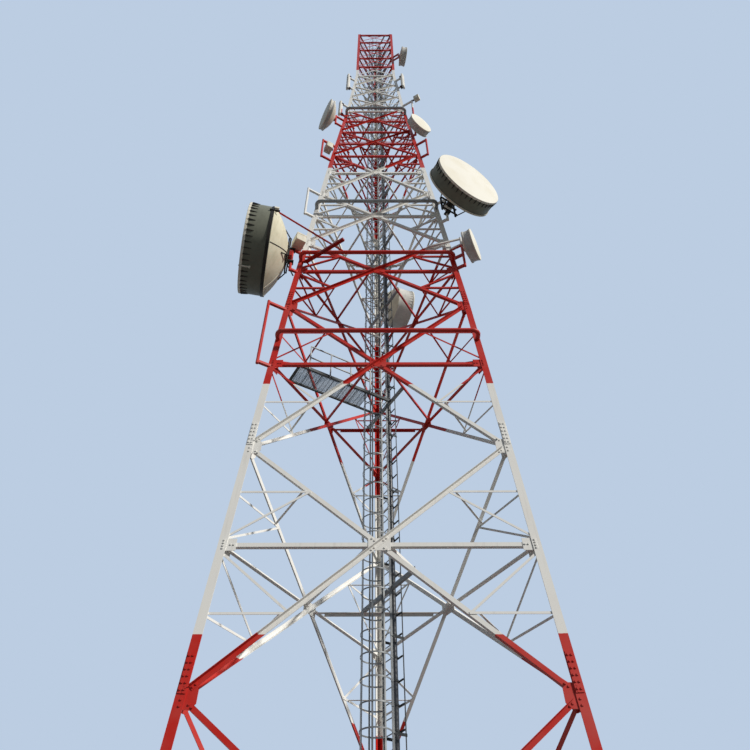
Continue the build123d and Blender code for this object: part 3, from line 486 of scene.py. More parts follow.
def hot_dip_zinc(colours):
    """Hot-dip galvanised steel some years old. The eye sees dull grey metal with a spangle of lighter and
    darker crystals, here 25 mm across so that they show, and white bloom in patches."""
    material, place = start_material("galvanised_steel_weathered")
    crystals = node(place.id_data, "ShaderNodeTexVoronoi", {"Scale": 1 / 0.025, "Vector": place})
    tone = ramped(crystals.outputs["Color"], 0.0, 1.0, 0.55, 0.25)
    spangle = mixed(tone, (*colours.zinc, 1), linear("#5B5E5F"))
    bloomed = mottled(place, spangle, linear("#B9BBB8"), 1 / 0.15, 0.3)
    grain = relief(noise(place, 1 / 0.015, 3.0), 0.2, 0.001)
    return finished(material, {"Base Color": bloomed, "Normal": grain, "Metallic": 0.25, "Roughness": 0.55})


def baked_coat(name, colour, grime, roughness=0.5):
    """Baked powder coat, or another coat of one colour. The eye sees an even satin skin with a faint orange
    peel, dulled by patches of grime and by runs below its seams."""
    material, place = start_material(name)
    patched = mottled(place, colour, grime, 1 / 0.25, 0.45)
    dulled = dusted(place, patched, grime, 22.0, 2.2, 0.5, 0.4)
    peel = relief(noise(place, 1 / 0.012, 3.0), 0.15, 0.001)
    gloss = {"Roughness": roughness, "IOR": 1.5, "Specular IOR Level": 0.1}
    return finished(material, {"Base Color": dulled, "Normal": peel, **gloss})


def coated_fabric(colours):
    """Coated glass cloth stretched as a cover. The eye sees a warm matte white with a weave, drawn here at
    32 mm so that it shows, and broad yellowed patches."""
    material, place = start_material("coated_glass_cloth")
    aged = mottled(place, (*colours.cover, 1), linear("#DCD3B8"), 1 / 0.5, 0.6)
    weave = relief(level_waves(place, 9.9475, 0.5), 0.12, 0.001)
    return finished(material, {"Base Color": aged, "Normal": weave, "Roughness": 0.65, "IOR": 1.4})


def extruded_polyethylene():
    """Extruded black polyethylene jacket. The eye sees a smooth dark grey sleeve with a soft sheen, greyed
    by dust and ringed by a slight corrugation every 59 mm."""
    material, place = start_material("polyethylene_jacket")
    greyed = mottled(place, linear("#33353A"), linear("#6A6861"), 1 / 0.2, 0.35)
    rings = relief(level_waves(place, 5.3053, 0.0), 0.3, 0.003)
    return finished(material, {"Base Color": greyed, "Normal": rings, "Roughness": 0.38, "IOR": 1.5})


def seen_directly(tree):
    """1 for rays from the camera, off glossy surfaces and through clear ones, 0 for the rays that light."""
    ray = node(tree, "ShaderNodeLightPath").outputs
    seen = reckoned("MAXIMUM", ray["Is Camera Ray"], ray["Is Glossy Ray"])
    return reckoned("MAXIMUM", seen, ray["Is Transmission Ray"])


def troweled_plaster():
    """Pale plaster of the studio's floor. The eye sees an even matte ground with the slightest cloudiness.
    It sends less light up than it shows, so that the undersides keep their shade."""
    material, place = start_material("troweled_plaster_pale")
    cloudy = mottled(place, linear("#DDDFE0"), linear("#C9CCCF"), 1 / 4.0, 0.25, 2.0)
    colour = mixed(seen_directly(place.id_data), linear("#606162"), cloudy)
    return finished(material, {"Base Color": colour, "Roughness": 0.9})


# Coats of a fixed colour: the material's name, its colour, its grime and its roughness.
COATS = {
    "drum": ("powder_coat_light_grey", "#D8D7D2", "#A5A29B", 0.5),
    "dark": ("powder_coat_black_brown", "#3B2426", "#5A4A44", 0.5),
    "oxide": ("red_lead_enamel", "#A3211C", "#5E2A24", 0.42),
    "ivory": ("powder_coat_ivory", "#E6E2D2", "#B4AD98", 0.5),
    "housing": ("glass_fibre_gel_coat", "#E2E0D9", "#B3AFA4", 0.5),
    "steel": ("zinc_primer_grey", "#55585A", "#3E3F3E", 0.55),
    "pitch": ("bitumen_paint_black", "#272625", "#4A443E", 0.5),
}
FINISHES = {}


def finishes():
    """The object's materials, by finish, made once."""
    if not FINISHES:
        colours = bpy.context.scene.tower_colours
        shroud, bowl = (*colours.shroud, 1), (*colours.bowl, 1)
        FINISHES.update(
            enamel=aviation_enamel(colours),
            zinc=hot_dip_zinc(colours),
            shroud=baked_coat("powder_coat_olive_grey", shroud, linear("#61635A")),
            bowl=baked_coat("powder_coat_cream", bowl, linear("#BFB798")),
            cover=coated_fabric(colours),
            jacket=extruded_polyethylene(),
        )
        for finish, (name, colour, grime, roughness) in COATS.items():
            FINISHES[finish] = baked_coat(name, linear(colour), linear(grime), roughness)
    return FINISHES


NODE_FINISHES = {"dish_stay": "oxide", "outrigger": "oxide", "catwalk_frame": "steel"}
SLOT_FINISHES = {
    "tower_paint": "enamel",
    "galvanised_steel": "zinc",
    "bracket_paint": "enamel",
    "feeder_jacket": "jacket",
    "dish_shell": "shroud",
    "radome": "cover",
    "antenna_cover": "housing",
}


# Sizes and colours a user would change.


def colour_of(name, description, code):
    """Colour that a user can change, given in sRGB hex."""
    default = linear(code)[:3]
    return FloatVectorProperty(
        name=name, description=description, subtype="COLOR", default=default, min=0, max=1
    )


def length_of(name, description, default, least):
    """Length in metres that a user can change."""
    return FloatProperty(name=name, description=description, default=default, min=least, unit="LENGTH")


class TowerColours(bpy.types.PropertyGroup):
    """Colours of the tower's finishes."""

    red: colour_of("Red", "Red of the painted bands", "#C0271E")
    white: colour_of("White", "White of the painted bands", "#ECEBE6")
    bands: IntProperty(
        name="Bands", description="Number of painted bands from the foot to the top", default=7, min=1
    )
    zinc: colour_of("Zinc", "Grey of the galvanised ladder, cage and catwalk", "#8B8E8F")
    shroud: colour_of("Shroud", "Olive grey of the large dishes' drums", "#7C7E70")
    bowl: colour_of("Bowl", "Cream of the large dishes' backs", "#E4DFC6")
    cover: colour_of("Cover", "Warm white of the dishes' covers", "#EDE9DC")


class TowerSizes(bpy.types.PropertyGroup):
    """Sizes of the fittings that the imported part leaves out."""

    rung_pitch: length_of("Rung pitch", "From rung to rung", 0.15, 0.05)
    rung_radius: length_of("Rung radius", "Radius of a round rung", 0.006, 0.001)
    hoop_pitch: length_of("Hoop pitch", "From hoop to hoop of the cage", 0.25, 0.05)
    hoop_height: length_of("Hoop height", "Height of a hoop's flat bar", 0.016, 0.001)
    bolt_radius: length_of("Bolt radius", "From a bolt's middle to a corner of its head", 0.011, 0.001)
    grating_pitch: length_of("Grating pitch", "From bar to bar of the deck", 0.02, 0.005)
    clip_pitch: length_of("Clip pitch", "Between the clips of a large dish's cover", 0.1, 0.02)


# Operators, one for each group of like pieces.


class PaintLattice(bpy.types.Operator):
    """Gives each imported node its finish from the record's material slots"""

    bl_idname = "tower.paint_lattice"
    bl_label = "Paint the lattice"

    def execute(self, context):
        for subpart in frame["record"]["subparts"]:
            name = subpart["node"]
            materials = frame["nodes"][name].data.materials
            materials.clear()
            finish = NODE_FINISHES.get(name) or SLOT_FINISHES[subpart["material_slot"]]
            materials.append(finishes()[finish])
        return {"FINISHED"}


def ladder_rungs(sizes):
    """Round rungs: one bar between the side rails at every pitch."""
    heights = np.arange(LADDER_START + sizes.rung_pitch, TOP - 0.02, sizes.rung_pitch)
    half = LADDER_HALF_WIDTH - 0.003
    starts = spots(STILE_X + STILE_DEPTH / 2, -half, heights)
    return bars(circle(sizes.rung_radius, 8), starts, starts + (0, 2 * half, 0))


def cage_line():
    """A hoop's centre line: from one side rail round an arc about the cage's centre to the other."""
    turn = np.linspace(CAGE_OPENING, 2 * np.pi - CAGE_OPENING, 25)
    arc = CAGE_RADIUS * ways_at(turn) + (CAGE_X, 0, 0)
    end = np.array([(STILE_X + STILE_DEPTH, LADDER_HALF_WIDTH, 0)])
    return np.concatenate([end, arc, end * (1, -1, 1)])


def cage_hoops(sizes):
    """Hoops: a flat strip carried along the hoop's line, stamped at every pitch."""
    strip = carried(box_outline(HOOP_WALL, sizes.hoop_height, HOOP_WALL / 2), cage_line(), UP)
    last = TOP - sizes.hoop_height
    heights = np.linspace(CAGE_START, last, round((last - CAGE_START) / sizes.hoop_pitch) + 1)
    return repeated(strip, spots(0, 0, heights + sizes.hoop_height / 2))


def cage_strips():
    """Upright strips on the inner side of the hoops, spread evenly round the arc."""
    turn = CAGE_OPENING + (2 * np.pi - 2 * CAGE_OPENING) * np.arange(1, STRIPS + 1) / (STRIPS + 1)
    ways = ways_at(turn)
    starts = ways * (CAGE_RADIUS - STRIP_WALL / 2) + (CAGE_X, 0, CAGE_START)
    return bars(box_outline(STRIP_WIDTH, STRIP_WALL), starts, starts + (0, 0, TOP - CAGE_START), ways)


class DressLadder(bpy.types.Operator):
    """Adds every rung and hoop of the caged ladder, and its upright strips"""

    bl_idname = "tower.dress_ladder"
    bl_label = "Ladder and cage"

    def execute(self, context):
        sizes = context.scene.tower_sizes
        rungs = turned(ladder_rungs(sizes), LADDER_TURN)
        piece("ladder_all_rungs", rungs, "zinc", ["ladder_rungs"], 40)
        hoops = turned(cage_hoops(sizes), LADDER_TURN)
        piece("cage_all_hoops", hoops, "zinc", ["cage_hoops"], 40)
        strips = turned(cage_strips(), LADDER_TURN)
        piece("cage_upright_strips", strips, "zinc", ["cage_strips"])
        return {"FINISHED"}


def cable_ladder(pitch):
    """Clamps round the feeder, a crossbar behind each, two rails, and links to the ladder's side rails."""
    back, reach = FEEDER_X + FEEDER_RADIUS + CLAMP_WALL, LADDER_HALF_WIDTH
    heights = np.arange(FEEDER_START + 0.2, TOP - 0.05, pitch)
    circuit = spots(*circle(FEEDER_RADIUS, 16).T, 0)
    ring = carried(box_outline(CLAMP_WALL, 0.022, CLAMP_WALL / 2), circuit, UP, True)
    clamps = repeated(ring, spots(FEEDER_X, 0, heights))
    starts = spots(back + 0.004, -reach, heights)
    crossbars = bars(box_outline(0.008, 0.02), starts, starts + (0, 2 * reach, 0))
    sides = np.array([reach, -reach])
    ends = spots(back + 0.016, sides, FEEDER_START)
    rails = bars(box_outline(0.006, 0.012), ends, ends + (0, 0, TOP - 0.01 - FEEDER_START), (1, 0, 0))
    ties = np.arange(FEEDER_START + 0.4, TOP - 0.1, 1.0)
    near = spots(STILE_X + 0.02, sides[:, None], ties).reshape(-1, 3)
    links = bars(box_outline(0.006, 0.03), near, near + (back + 0.01 - STILE_X, 0, 0))
    return joined([clamps, crossbars, rails, links])


class DressFeeder(bpy.types.Operator):
    """Adds the feeder with its clamps, and the cable ladder that carries it"""

    bl_idname = "tower.dress_feeder"
    bl_label = "Feeder and cable ladder"

    def execute(self, context):
        sleeve = revolved([(FEEDER_START, FEEDER_RADIUS), (TOP, FEEDER_RADIUS)], 32)
        feeder = turned(lifted(sleeve, (FEEDER_X, 0, 0)), LADDER_TURN)
        piece("feeder_sleeve", feeder, "jacket", ["cable_run"], 40)
        run = turned(cable_ladder(context.scene.tower_sizes.hoop_pitch), LADDER_TURN)
        piece("cable_ladder", run, "steel")
        return {"FINISHED"}


def dish_place(dish):
    """Pole's place and the way a dish looks: leg corner plus stand-off, turned to its leg."""
    foot = spun(corner(dish.height - dish.arm_below, dish.stand_off), LEG_TURNS[dish.leg])
    return np.array([*foot[:2], dish.height]), ways_at(math.radians(dish.aim))


def on_dish(shape, dish):
    """A shape drawn about the dish's axis, with the aperture at height 0, set in place."""
    pole, way = dish_place(dish)
    return set_on(shape, pole + way * dish.reach, way)


def bowl_depth(name):
    """Depth of a dish's back: up to its hub, or a share of the radius where it is flatter."""
    dish = DISHES[name]
    if name in FLAT_BACKS:
        return dish.radius * FLAT_BACKS[name]
    return (dish.reach - dish.depth) * (1 - HUB_SHARE) - POLE_RADIUS


def bowl_curve(dish, length):
    """Parabola behind the drum: depth falls with the square of the share of the radius."""
    share, gap = np.linspace(0.985, HUB_RADIUS_SHARE, 14), 0.004
    behind = dish.depth + gap + (length - gap) * (1 - share**2) / (1 - HUB_RADIUS_SHARE**2)
    return np.column_stack([-behind, dish.radius * share])


def bowl_profile(dish, curve):
    """Whole back: a flange against the drum, the curve, and the hub's flat end."""
    lip, front, back = dish.radius + RIM_LIP, 0.002 - dish.depth, -0.01 - dish.depth
    flange = [(front, dish.radius * 0.9), (front, lip), (back, lip), (back, lip - 0.02)]
    hub = curve[-1:] - (0.012, 0)
    return np.concatenate([flange, curve, hub, hub * (1, 0.1)])


def shroud_profile(dish):
    """Drum wall with the ring at each end: the rings stand out by the lip, with rounded edges."""
    r, lip, ring, edge = dish.radius, dish.radius + RIM_LIP, RIM_DEPTH, 0.004
    back, inner = -dish.depth, dish.radius * 0.97
    return [
        (back, inner),
        (back, lip - edge),
        (back + edge, lip),
        (back + ring - edge, lip),
        (back + ring, lip - edge),
        (back + ring, r),
        (-ring - edge, r),
        (-ring - edge, lip - edge),
        (-ring, lip - edge / 2),
        (-edge, lip - edge / 2),
        (-edge / 4, lip - edge),
        (-edge / 4, inner),
    ]


def cover_profile(dish, hem):
    """Cover over the aperture: a shallow dome, highest at the middle, and a hem down over the rim."""
    edge, rise = dish.radius + RIM_LIP - 0.001, 0.015
    share = np.linspace(1.0, 0.02, 8)
    dome = np.column_stack([0.004 + rise * (1 - share**2), (edge - 0.003) * share])
    return np.concatenate([[(-hem, edge - 0.004), (-hem, edge + 0.0006), (0.001, edge + 0.0006)], dome])


def back_ring_profile(dish):
    """Flat ring where the back joins the drum, wider on the left dish, just proud of the drum's own ring."""
    inner, lip, back = dish.radius * 0.95, dish.radius + RIM_LIP + 0.001, -dish.depth - 0.001
    ahead = (0.05 if dish.leg == "left" else 0.022) - dish.depth
    return [(back, inner), (back, lip), (ahead, lip), (ahead, inner)]


def tapered_hook(reach, width, rise):
    """Hook along Z whose rectangular section shrinks in two steps to its tip."""
    sections = [(1.0, 1.0), (0.7, 0.75), (0.2, 0.3)]
    outlines = [box_outline(width * w, rise * h, 0, rise * h / 2) for w, h in sections]
    return stacked(outlines, reach * np.array([0.0, 0.35, 1.0]))


def clips(dish, pitch, hem):
    """Clips that hold the cover: plates across the hem, and hooks that taper back along the drum."""
    width, rise = (0.018, 0.02) if dish.large else (0.009, 0.008)
    count = round(2 * np.pi * dish.radius / pitch)
    out = ways_at((np.arange(count) + 0.5) * 2 * np.pi / count)
    axes = np.stack([np.cross(UP, out), out, np.broadcast_to((0.0, 0.0, -1.0), out.shape)], 1)
    plates = stamped(tapered_hook(hem + 0.01, width, 0.004), out * (dish.radius + RIM_LIP - 0.0015), axes)
    hook = tapered_hook(dish.depth * 0.28, width * 1.2, rise)
    return plates, stamped(hook, out * dish.radius - (0, 0, hem - 0.002), axes)


def seam(profile, degrees, width):
    """Flat strip along one meridian of a surface of revolution."""
    way = ways_at(math.radians(degrees))
    path = profile[:, 1:] * way + profile[:, :1] * UP
    return carried(box_outline(width, 0.008, 0, 0.002), path, way - UP)


def mounting_frame(dish, length):
    """Frame behind the back: a hub ring, two upright and three cross channels, struts and pole clamps."""
    plane = -dish.reach + POLE_RADIUS + 0.035
    half, wide = dish.radius * FRAME_SHARE, dish.radius * 0.23
    channel = box_outline(0.034, 0.024)
    low = spots([wide, -wide], -half, plane)
    uprights = bars(channel, low, low + (0, 2 * half, 0))
    left = spots(-wide * 1.15, np.array([0.85, 0.0, -0.85]) * half, plane + 0.03)
    crosses = bars(channel, left, left * (-1, 1, 1))
    # The struts meet the back at this share of its radius.
    share = 0.55
    depth = -dish.depth - length * (1 - share**2) / (1 - HUB_RADIUS_SHARE**2)
    x, y = np.array([(1, 1), (1, -1), (-1, -1), (-1, 1)]).T
    starts = spots(x * wide, y * half * 0.95, plane)
    ends = spots(x * wide * 1.6, y * dish.radius * share * 0.85, depth + 0.012)
    struts = bars(circle(0.011, 8), starts, ends)
    apex, rim = -dish.depth - length, dish.radius * 0.17
    hub = revolved([(plane - 0.01, 0.05), (apex - 0.02, rim), (apex + 0.01, rim)], 24)
    behind = -dish.reach - POLE_RADIUS - 0.018
    seats = spots(0, np.array([0.7, -0.7]) * half, behind)
    clamps = bars(box_outline(0.09, 0.035), seats, seats + (0, 0, plane - behind), (0, 1, 0))
    return joined([uprights, crosses, struts, hub, clamps])


def dish_pieces(name, sizes):
    """All pieces of one dish, drawn about its axis with the aperture at height 0, then set in place."""
    dish, large = DISHES[name], DISHES[name].large
    hem = LARGE_HEM if large else SMALL_HEM
    sides = 96 if large else 64
    shell, rear, hold = ("shroud", "bowl", "pitch") if large else ("drum", "ivory", "drum")
    length = bowl_depth(name)
    curve = bowl_curve(dish, length)
    plates, hooks = clips(dish, sizes.clip_pitch if large else SMALL_CLIP_PITCH, hem)
    shapes = {
        "shroud": (revolved(shroud_profile(dish), sides), shell, "dish_shell"),
        "bowl": (revolved(bowl_profile(dish, curve), sides), rear, "dish_shell"),
        "cover": (revolved(cover_profile(dish, hem), sides), "cover", "radome"),
        "clip_plates": (plates, "ivory", "dish_shell"),
        "clip_hooks": (hooks, hold, "dish_shell"),
    }
    if large or name == "dish_rear":
        shapes["frame"] = (mounting_frame(dish, length), "pitch", "bracket_paint")
    if large:
        # The back ring is drawn black on the left dish, a dark ring that also stands as painted shade, and
        # ivory on the right dish, as a painted highlight along its lit edge.
        ring = "pitch" if name == "big_dish_left" else "ivory"
        shapes["back_ring"] = (revolved(back_ring_profile(dish), sides), ring, "dish_shell")
        seams = joined([seam(curve, turn, 0.012) for turn in SEAM_TURNS])
        shapes["seams"] = (seams, "pitch", "dish_shell")
        # Ivory strip low on the back: a seam that also stands as a painted highlight along the back's lit lower
        # edge.
        shapes["joint_strip"] = (seam(curve, SEAM_HIGHLIGHT_TURN, 0.035), "ivory", "dish_shell")
    stands_for = {"shroud": [name], "cover": [f"{name}_radome"] if large else []}
    for part, (shape, finish, slot) in shapes.items():
        piece(f"{name}_{part}", on_dish(shape, dish), finish, stands_for.get(part, ()), 30)


def on_back_ring(dish, degrees, ahead, behind, outline):
    """Bar along the dish's axis across its back ring, at one angle about the axis."""
    out = ways_at(math.radians(degrees))
    seat = out * (dish.radius + RIM_LIP) - (0, 0, dish.depth)
    return bars(outline, seat + (0, 0, ahead), seat - (0, 0, behind), out)


def rim_pin():
    """Round pin on the large left dish's front rim, low on the near side, and a lug on its back ring."""
    dish = DISHES["big_dish_left"]
    shaft = revolved([(-0.13, 0.009), (-0.13, 0.013), (0.05, 0.013), (0.055, 0.01)], 16)
    head = lifted(revolved([(0, 0.022), (0.03, 0.022)], 16), (0, 0, -0.14))
    place = ways_at(math.radians(PIN_TURN)) * (dish.radius + RIM_LIP + 0.012) - (0, 0, 0.045)
    lug = on_back_ring(dish, LUG_TURN, 0.008, 0.07, box_outline(0.07, 0.045))
    return on_dish(joined([lifted(joined([shaft, head]), place), lug]), dish)


def low_strut():
    """Round strut from the foot of the large left dish's frame to the leg, and the clamp of its stay."""
    dish = DISHES["big_dish_left"]
    pole, way = dish_place(dish)
    foot = pole + way * 0.06 - (0, 0, dish.radius * FRAME_SHARE)
    strut = bars(circle(0.012, 8), foot, corner(STRUT_HEIGHT, 0.02))
    clamp = on_back_ring(dish, STAY_CLAMP_TURN, 0.08, 0.09, box_outline(0.022, 0.034))
    return joined([strut, on_dish(clamp, dish)])


def long_pole():
    """Pole behind the right dish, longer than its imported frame, with an arm at its foot and a stay on top."""
    low, high, arm_height, seat_height = 10.06, 10.97, 10.1, 10.78
    (x, y, _), _ = dish_place(DISHES["dish_right"])
    foot, head = np.array([(x, y, low), (x, y, high)])
    pole = bars(circle(POLE_RADIUS * 0.92, 12), foot, head, (1, 0, 0))
    leg = spun(corner(arm_height), LEG_TURNS["right"])
    arm = bars(box_outline(0.045, 0.045), (x, y, arm_height), leg)
    seat = face_points(side_at(seat_height) * 0.34, seat_height, 0.03)
    stay = bars(box_outline(0.03, 0.03), seat, head - (0, 0, 0.04))
    return joined([pole, arm, stay])


class DressDishes(bpy.types.Operator):
    """Builds the seven drum dishes: drum, back, cover, clips, frame, and the rods that hold them"""

    bl_idname = "tower.dress_dishes"
    bl_label = "Dishes"

    def execute(self, context):
        for name in DISHES:
            dish_pieces(name, context.scene.tower_sizes)
        piece("big_dish_left_pin", rim_pin(), "ivory", (), 40)
        piece("big_dish_left_strut", low_strut(), "pitch")
        piece("dish_right_pole", long_pole(), "enamel")
        return {"FINISHED"}


def panel_bolts(low, high, large):
    """Bolts of one panel of the front face, on the outer side of the steel of each diagonal."""
    flange, wall = (LEG_FLANGE, LEG_WALL) if large else (UPPER_LEG_FLANGE, UPPER_LEG_WALL)
    size, brace_wall = (BRACE_FLANGE, BRACE_WALL) if large else (UPPER_BRACE_FLANGE, UPPER_BRACE_WALL)
    start = np.array([-side_at(low) / 2 + flange / 2, low])
    line = np.array([side_at(high) / 2 - flange / 2, high]) - start
    length, slope = np.hypot(*line), math.atan2(line[1], line[0])
    centre = (crossing(low, high) - low) / math.sin(slope)
    if large:
        trim = (flange / 2 + BRACE_END_GAP) / math.cos(slope) + size / 2 * math.tan(slope)
        near, far = trim + 0.022, trim + 0.058
        runs = [near, far, length - far, length - near]
        runs += [centre - 0.11, centre - 0.07, centre + 0.07, centre + 0.11]
        outer, inner = brace_wall - wall, -wall
    else:
        near = size * math.tan(slope) + 0.02
        runs = [near, centre, length - near]
        outer, inner = brace_wall, 0.0
    across, height = (start + np.array(runs)[:, None] * (line / length)).T
    return [face_points(across, height, outer), face_points(-across, height, inner)]


def lattice_bolts():
    """Places of the front face's bolts: at the braces' ends and crossings, and in columns on the legs."""
    places = []
    for nodes, large in ((LOWER_NODES, True), (MIDDLE_NODES, True), (UPPER_NODES, False), (TOP_NODES, False)):
        for span in spans(nodes):
            places += panel_bolts(*span, large)
    crossings = [crossing(*span) for span in spans(LOWER_NODES) + spans(MIDDLE_NODES)]
    columns = [(height, COLUMN_HALF) for height in (*LOWER_NODES[1:], *MIDDLE_NODES[1:-1])]
    for height, half in columns + [(height, SHORT_COLUMN_HALF) for height in crossings]:
        rows = height + half * np.array([-1, -0.35, 0.35, 1])
        across = -side_at(rows) / 2 + COLUMN_INSET
        places += [face_points(across, rows, 0.0), face_points(-across, rows, 0.0)]
    for height in crossings:
        across = side_at(height) / 2 - np.array([0.14, 0.175])
        places += [face_points(side * across, height, -LEG_WALL) for side in (1, -1)]
    return np.concatenate(places)


def splice_plates():
    """Cover plates of the front face's splices, flat on the leg above each joint, and their bolts' places."""
    plates, places = [], []
    for low in SPLICE_LEVELS:
        heights = np.array([low, low + SPLICE_LENGTH])
        ends = face_points(-side_at(heights) / 2 + 0.048, heights, SPLICE_WALL / 2)
        plates.append(bars(box_outline(SPLICE_WIDTH, SPLICE_WALL), *ends, FRONT))
        rows = low + SPLICE_BOLT_START + SPLICE_BOLT_PITCH * np.arange(SPLICE_BOLT_ROWS)
        for inset in SPLICE_BOLT_INSETS:
            places.append(face_points(-side_at(rows) / 2 + inset, rows, SPLICE_WALL))
    places = np.concatenate(places)
    return on_both_sides(joined(plates)), np.concatenate([places, places * (-1, 1, 1)])


class DressJoints(bpy.types.Operator):
    """Adds the bolts of the lattice and the splice plates of the legs"""

    bl_idname = "tower.dress_joints"
    bl_label = "Bolts and splices"

    def execute(self, context):
        radius = context.scene.tower_sizes.bolt_radius
        shape = bolt_heads(lattice_bolts(), radius)
        for face, turn in FACE_TURNS.items():
            piece(f"{face}_bolts", turned(shape, turn), "enamel")
        plates, places = splice_plates()
        piece("leg_splice_plates", on_three(plates), "enamel")
        piece("leg_splice_bolts", on_three(bolt_heads(places, radius)), "enamel")
        return {"FINISHED"}


def bent_tube(height):
    """Round tube across the front: a line back from the leg, an arc at each corner, and a straight run."""
    front = -side_at(height) / (2 * ROOT3) - TUBE_STAND_OFF
    side = side_at(height) / 2 - TUBE_INSET
    turn = np.linspace(0, np.pi / 2, 9)
    arc = np.column_stack([side - TUBE_BEND * (1 - np.cos(turn)), front + TUBE_BEND * (1 - np.sin(turn))])
    half = np.concatenate([[(side, front + TUBE_STAND_OFF + 0.004)], arc])
    line = np.concatenate([half, half[::-1] * (-1, 1)])
    return carried(circle(TUBE_RADIUS, 20), spots(*line.T, height), UP)


class DressTubes(bpy.types.Operator):
    """Builds the round tubes across the front face with their bent ends"""

    bl_idname = "tower.dress_tubes"
    bl_label = "Front tubes"

    def execute(self, context):
        tubes = [bent_tube(height) for height in TUBE_HEIGHTS]
        red, grey = joined(tubes[:2]), joined(tubes[2:])
        piece("front_red_tubes", red, "enamel", ["front_tubes"], 35)
        piece("front_grey_tubes", grey, "zinc", (), 35)
        return {"FINISHED"}


def secondary_bars(low, high, large):
    """Secondary braces of a panel: angles from the leg to the middle of each half diagonal."""
    flange, wall = (LEG_FLANGE, LEG_WALL) if large else (UPPER_LEG_FLANGE, UPPER_LEG_WALL)
    size = SECONDARY_FLANGE if large else UPPER_SECONDARY_FLANGE
    middle, rise = crossing(low, high), 0.1
    starts, ends = [], []
    for level, root in ((low, middle - rise), (high, middle + rise)):
        meet = ((-side_at(level) / 2 + flange / 2) / 2, (level + middle) / 2)
        for height in (meet[1], root):
            starts.append((-side_at(height) / 2 + flange - 0.03, height))
            ends.append(meet)
    out = -wall - GUSSET_WALL / 2
    starts, ends = (face_points(*np.transpose(points), out) for points in (starts, ends))
    return on_both_sides(bars(angle_section(size, LIGHT_WALL), starts, ends, FRONT))


def corner_ties(low, high):
    """Level ties across the left corner, between the middles of the half diagonals of two faces."""
    levels = np.array([low, high])
    across, heights = -side_at(levels) / 4 + LEG_FLANGE / 4, (levels + crossing(low, high)) / 2
    ends = face_points(across, heights, -LEG_WALL - 0.012)
    return bars(box_outline(TIE_WIDTH, LIGHT_WALL), ends, spun(ends * (-1, 1, 1), -120))


def level_rails():
    """Level angles across the front face, at the panels of the head and just above the legs' joint."""
    levels = np.concatenate([np.linspace(15.0, 18.0, 5), TOP_NODES[:-1], [TOP - 0.024]])
    half = side_at(levels) / 2 - UPPER_LEG_FLANGE * 0.6
    starts, ends = face_points(-half, levels, -0.02), face_points(half, levels, -0.02)
    return bars(angle_section(LEVEL_FLANGE, LIGHT_WALL), starts, ends, FRONT)


class DressBracing(bpy.types.Operator):
    """Adds the secondary braces of the panels, their ties across the corners and the level angles"""

    bl_idname = "tower.dress_bracing"
    bl_label = "Secondary bracing"

    def execute(self, context):
        panels = [(span, True) for span in spans(MIDDLE_NODES)]
        panels += [(span, False) for span in spans(UPPER_NODES[:3])]
        braces = joined([secondary_bars(*span, large) for span, large in panels])
        ties = joined([corner_ties(*span) for span in spans(MIDDLE_NODES)])
        whole = on_three(joined([braces, ties, level_rails()]))
        piece("secondary_bracing", whole, "enamel")
        return {"FINISHED"}


def across_deck(outline, columns, height):
    """Bars across the catwalk's deck, at each of these places along it."""
    starts = spots(columns, -DECK_HALF_WIDTH, height)
    return bars(outline, starts, starts + (0, 2 * DECK_HALF_WIDTH, 0))


class DressDeck(bpy.types.Operator):
    """Builds the catwalk's grating of upright bars with rods across, and the joists under it"""

    bl_idname = "tower.dress_deck"
    bl_label = "Deck grating"

    def execute(self, context):
        low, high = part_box("catwalk_deck")
        top, length, width = high.z - 0.003, DECK_END - DECK_START, 2 * DECK_HALF_WIDTH
        pitch = context.scene.tower_sizes.grating_pitch
        rows = np.linspace(-DECK_HALF_WIDTH, DECK_HALF_WIDTH, round(width / pitch) + 1)
        starts = spots(DECK_START, rows, top - 0.006)
        bearers = bars(box_outline(0.003, 0.012), starts, starts + (length, 0, 0))
        columns = np.linspace(DECK_START + 0.003, DECK_END - 0.003, round(length / DECK_ROD_PITCH) + 1)
        rods = across_deck(box_outline(0.004, 0.004), columns, top)
        grating = turned(joined([bearers, rods]), LADDER_TURN)
        piece("catwalk_grating", grating, "steel", ["catwalk_deck"])
        columns = np.linspace(DECK_START + 0.2, DECK_END - 0.2, 5)
        joists = turned(across_deck(box_outline(0.006, 0.012), columns, low.z + 0.012), LADDER_TURN)
        piece("catwalk_joists", joists, "steel")
        return {"FINISHED"}


# Panel antennas: leg, low and high end of the pole, width and length.
ANTENNAS = {
    "antenna_left_high": ("left", 19.7, 20.45, 0.105, 1.1),
    "antenna_left_low": ("left", 17.56, 18.24, 0.105, 0.82),
    "antenna_right": ("right", 19.8, 20.45, 0.14, 0.95),
}


def antenna_cover(middle, width, length):
    """Cover of a panel antenna: a flat back and a front on a fourth-power oval, narrowed at its ends."""
    turn = np.linspace(-np.pi / 2, np.pi / 2, 13)
    across, ahead = np.cos(turn), np.sin(turn)
    front = np.column_stack([np.abs(across) ** 0.5, np.sign(ahead) * np.abs(ahead) ** 0.5])
    outline = front * (-ANTENNA_DEPTH, width / 2) - (ANTENNA_SEAT, 0)
    core = np.array([-ANTENNA_SEAT - ANTENNA_DEPTH * 0.4, 0.0])
    shares = np.array([0.8, 0.94, 1, 1, 0.94, 0.8])
    heights = np.array([0, 0.006, 0.03, length - 0.03, length - 0.006, length]) + middle - length / 2
    return stacked(core + (outline - core) * shares[:, None, None], heights)


def antenna_clamps(middle, width, length):
    """Two clamps of a panel antenna: blocks across its back that reach past its pole."""
    starts = spots(-ANTENNA_SEAT - 0.01, 0, middle + np.array([-0.4, 0.4]) * length)
    return bars(box_outline(width * 0.7, 0.04), starts, starts + (0.075, 0, 0))


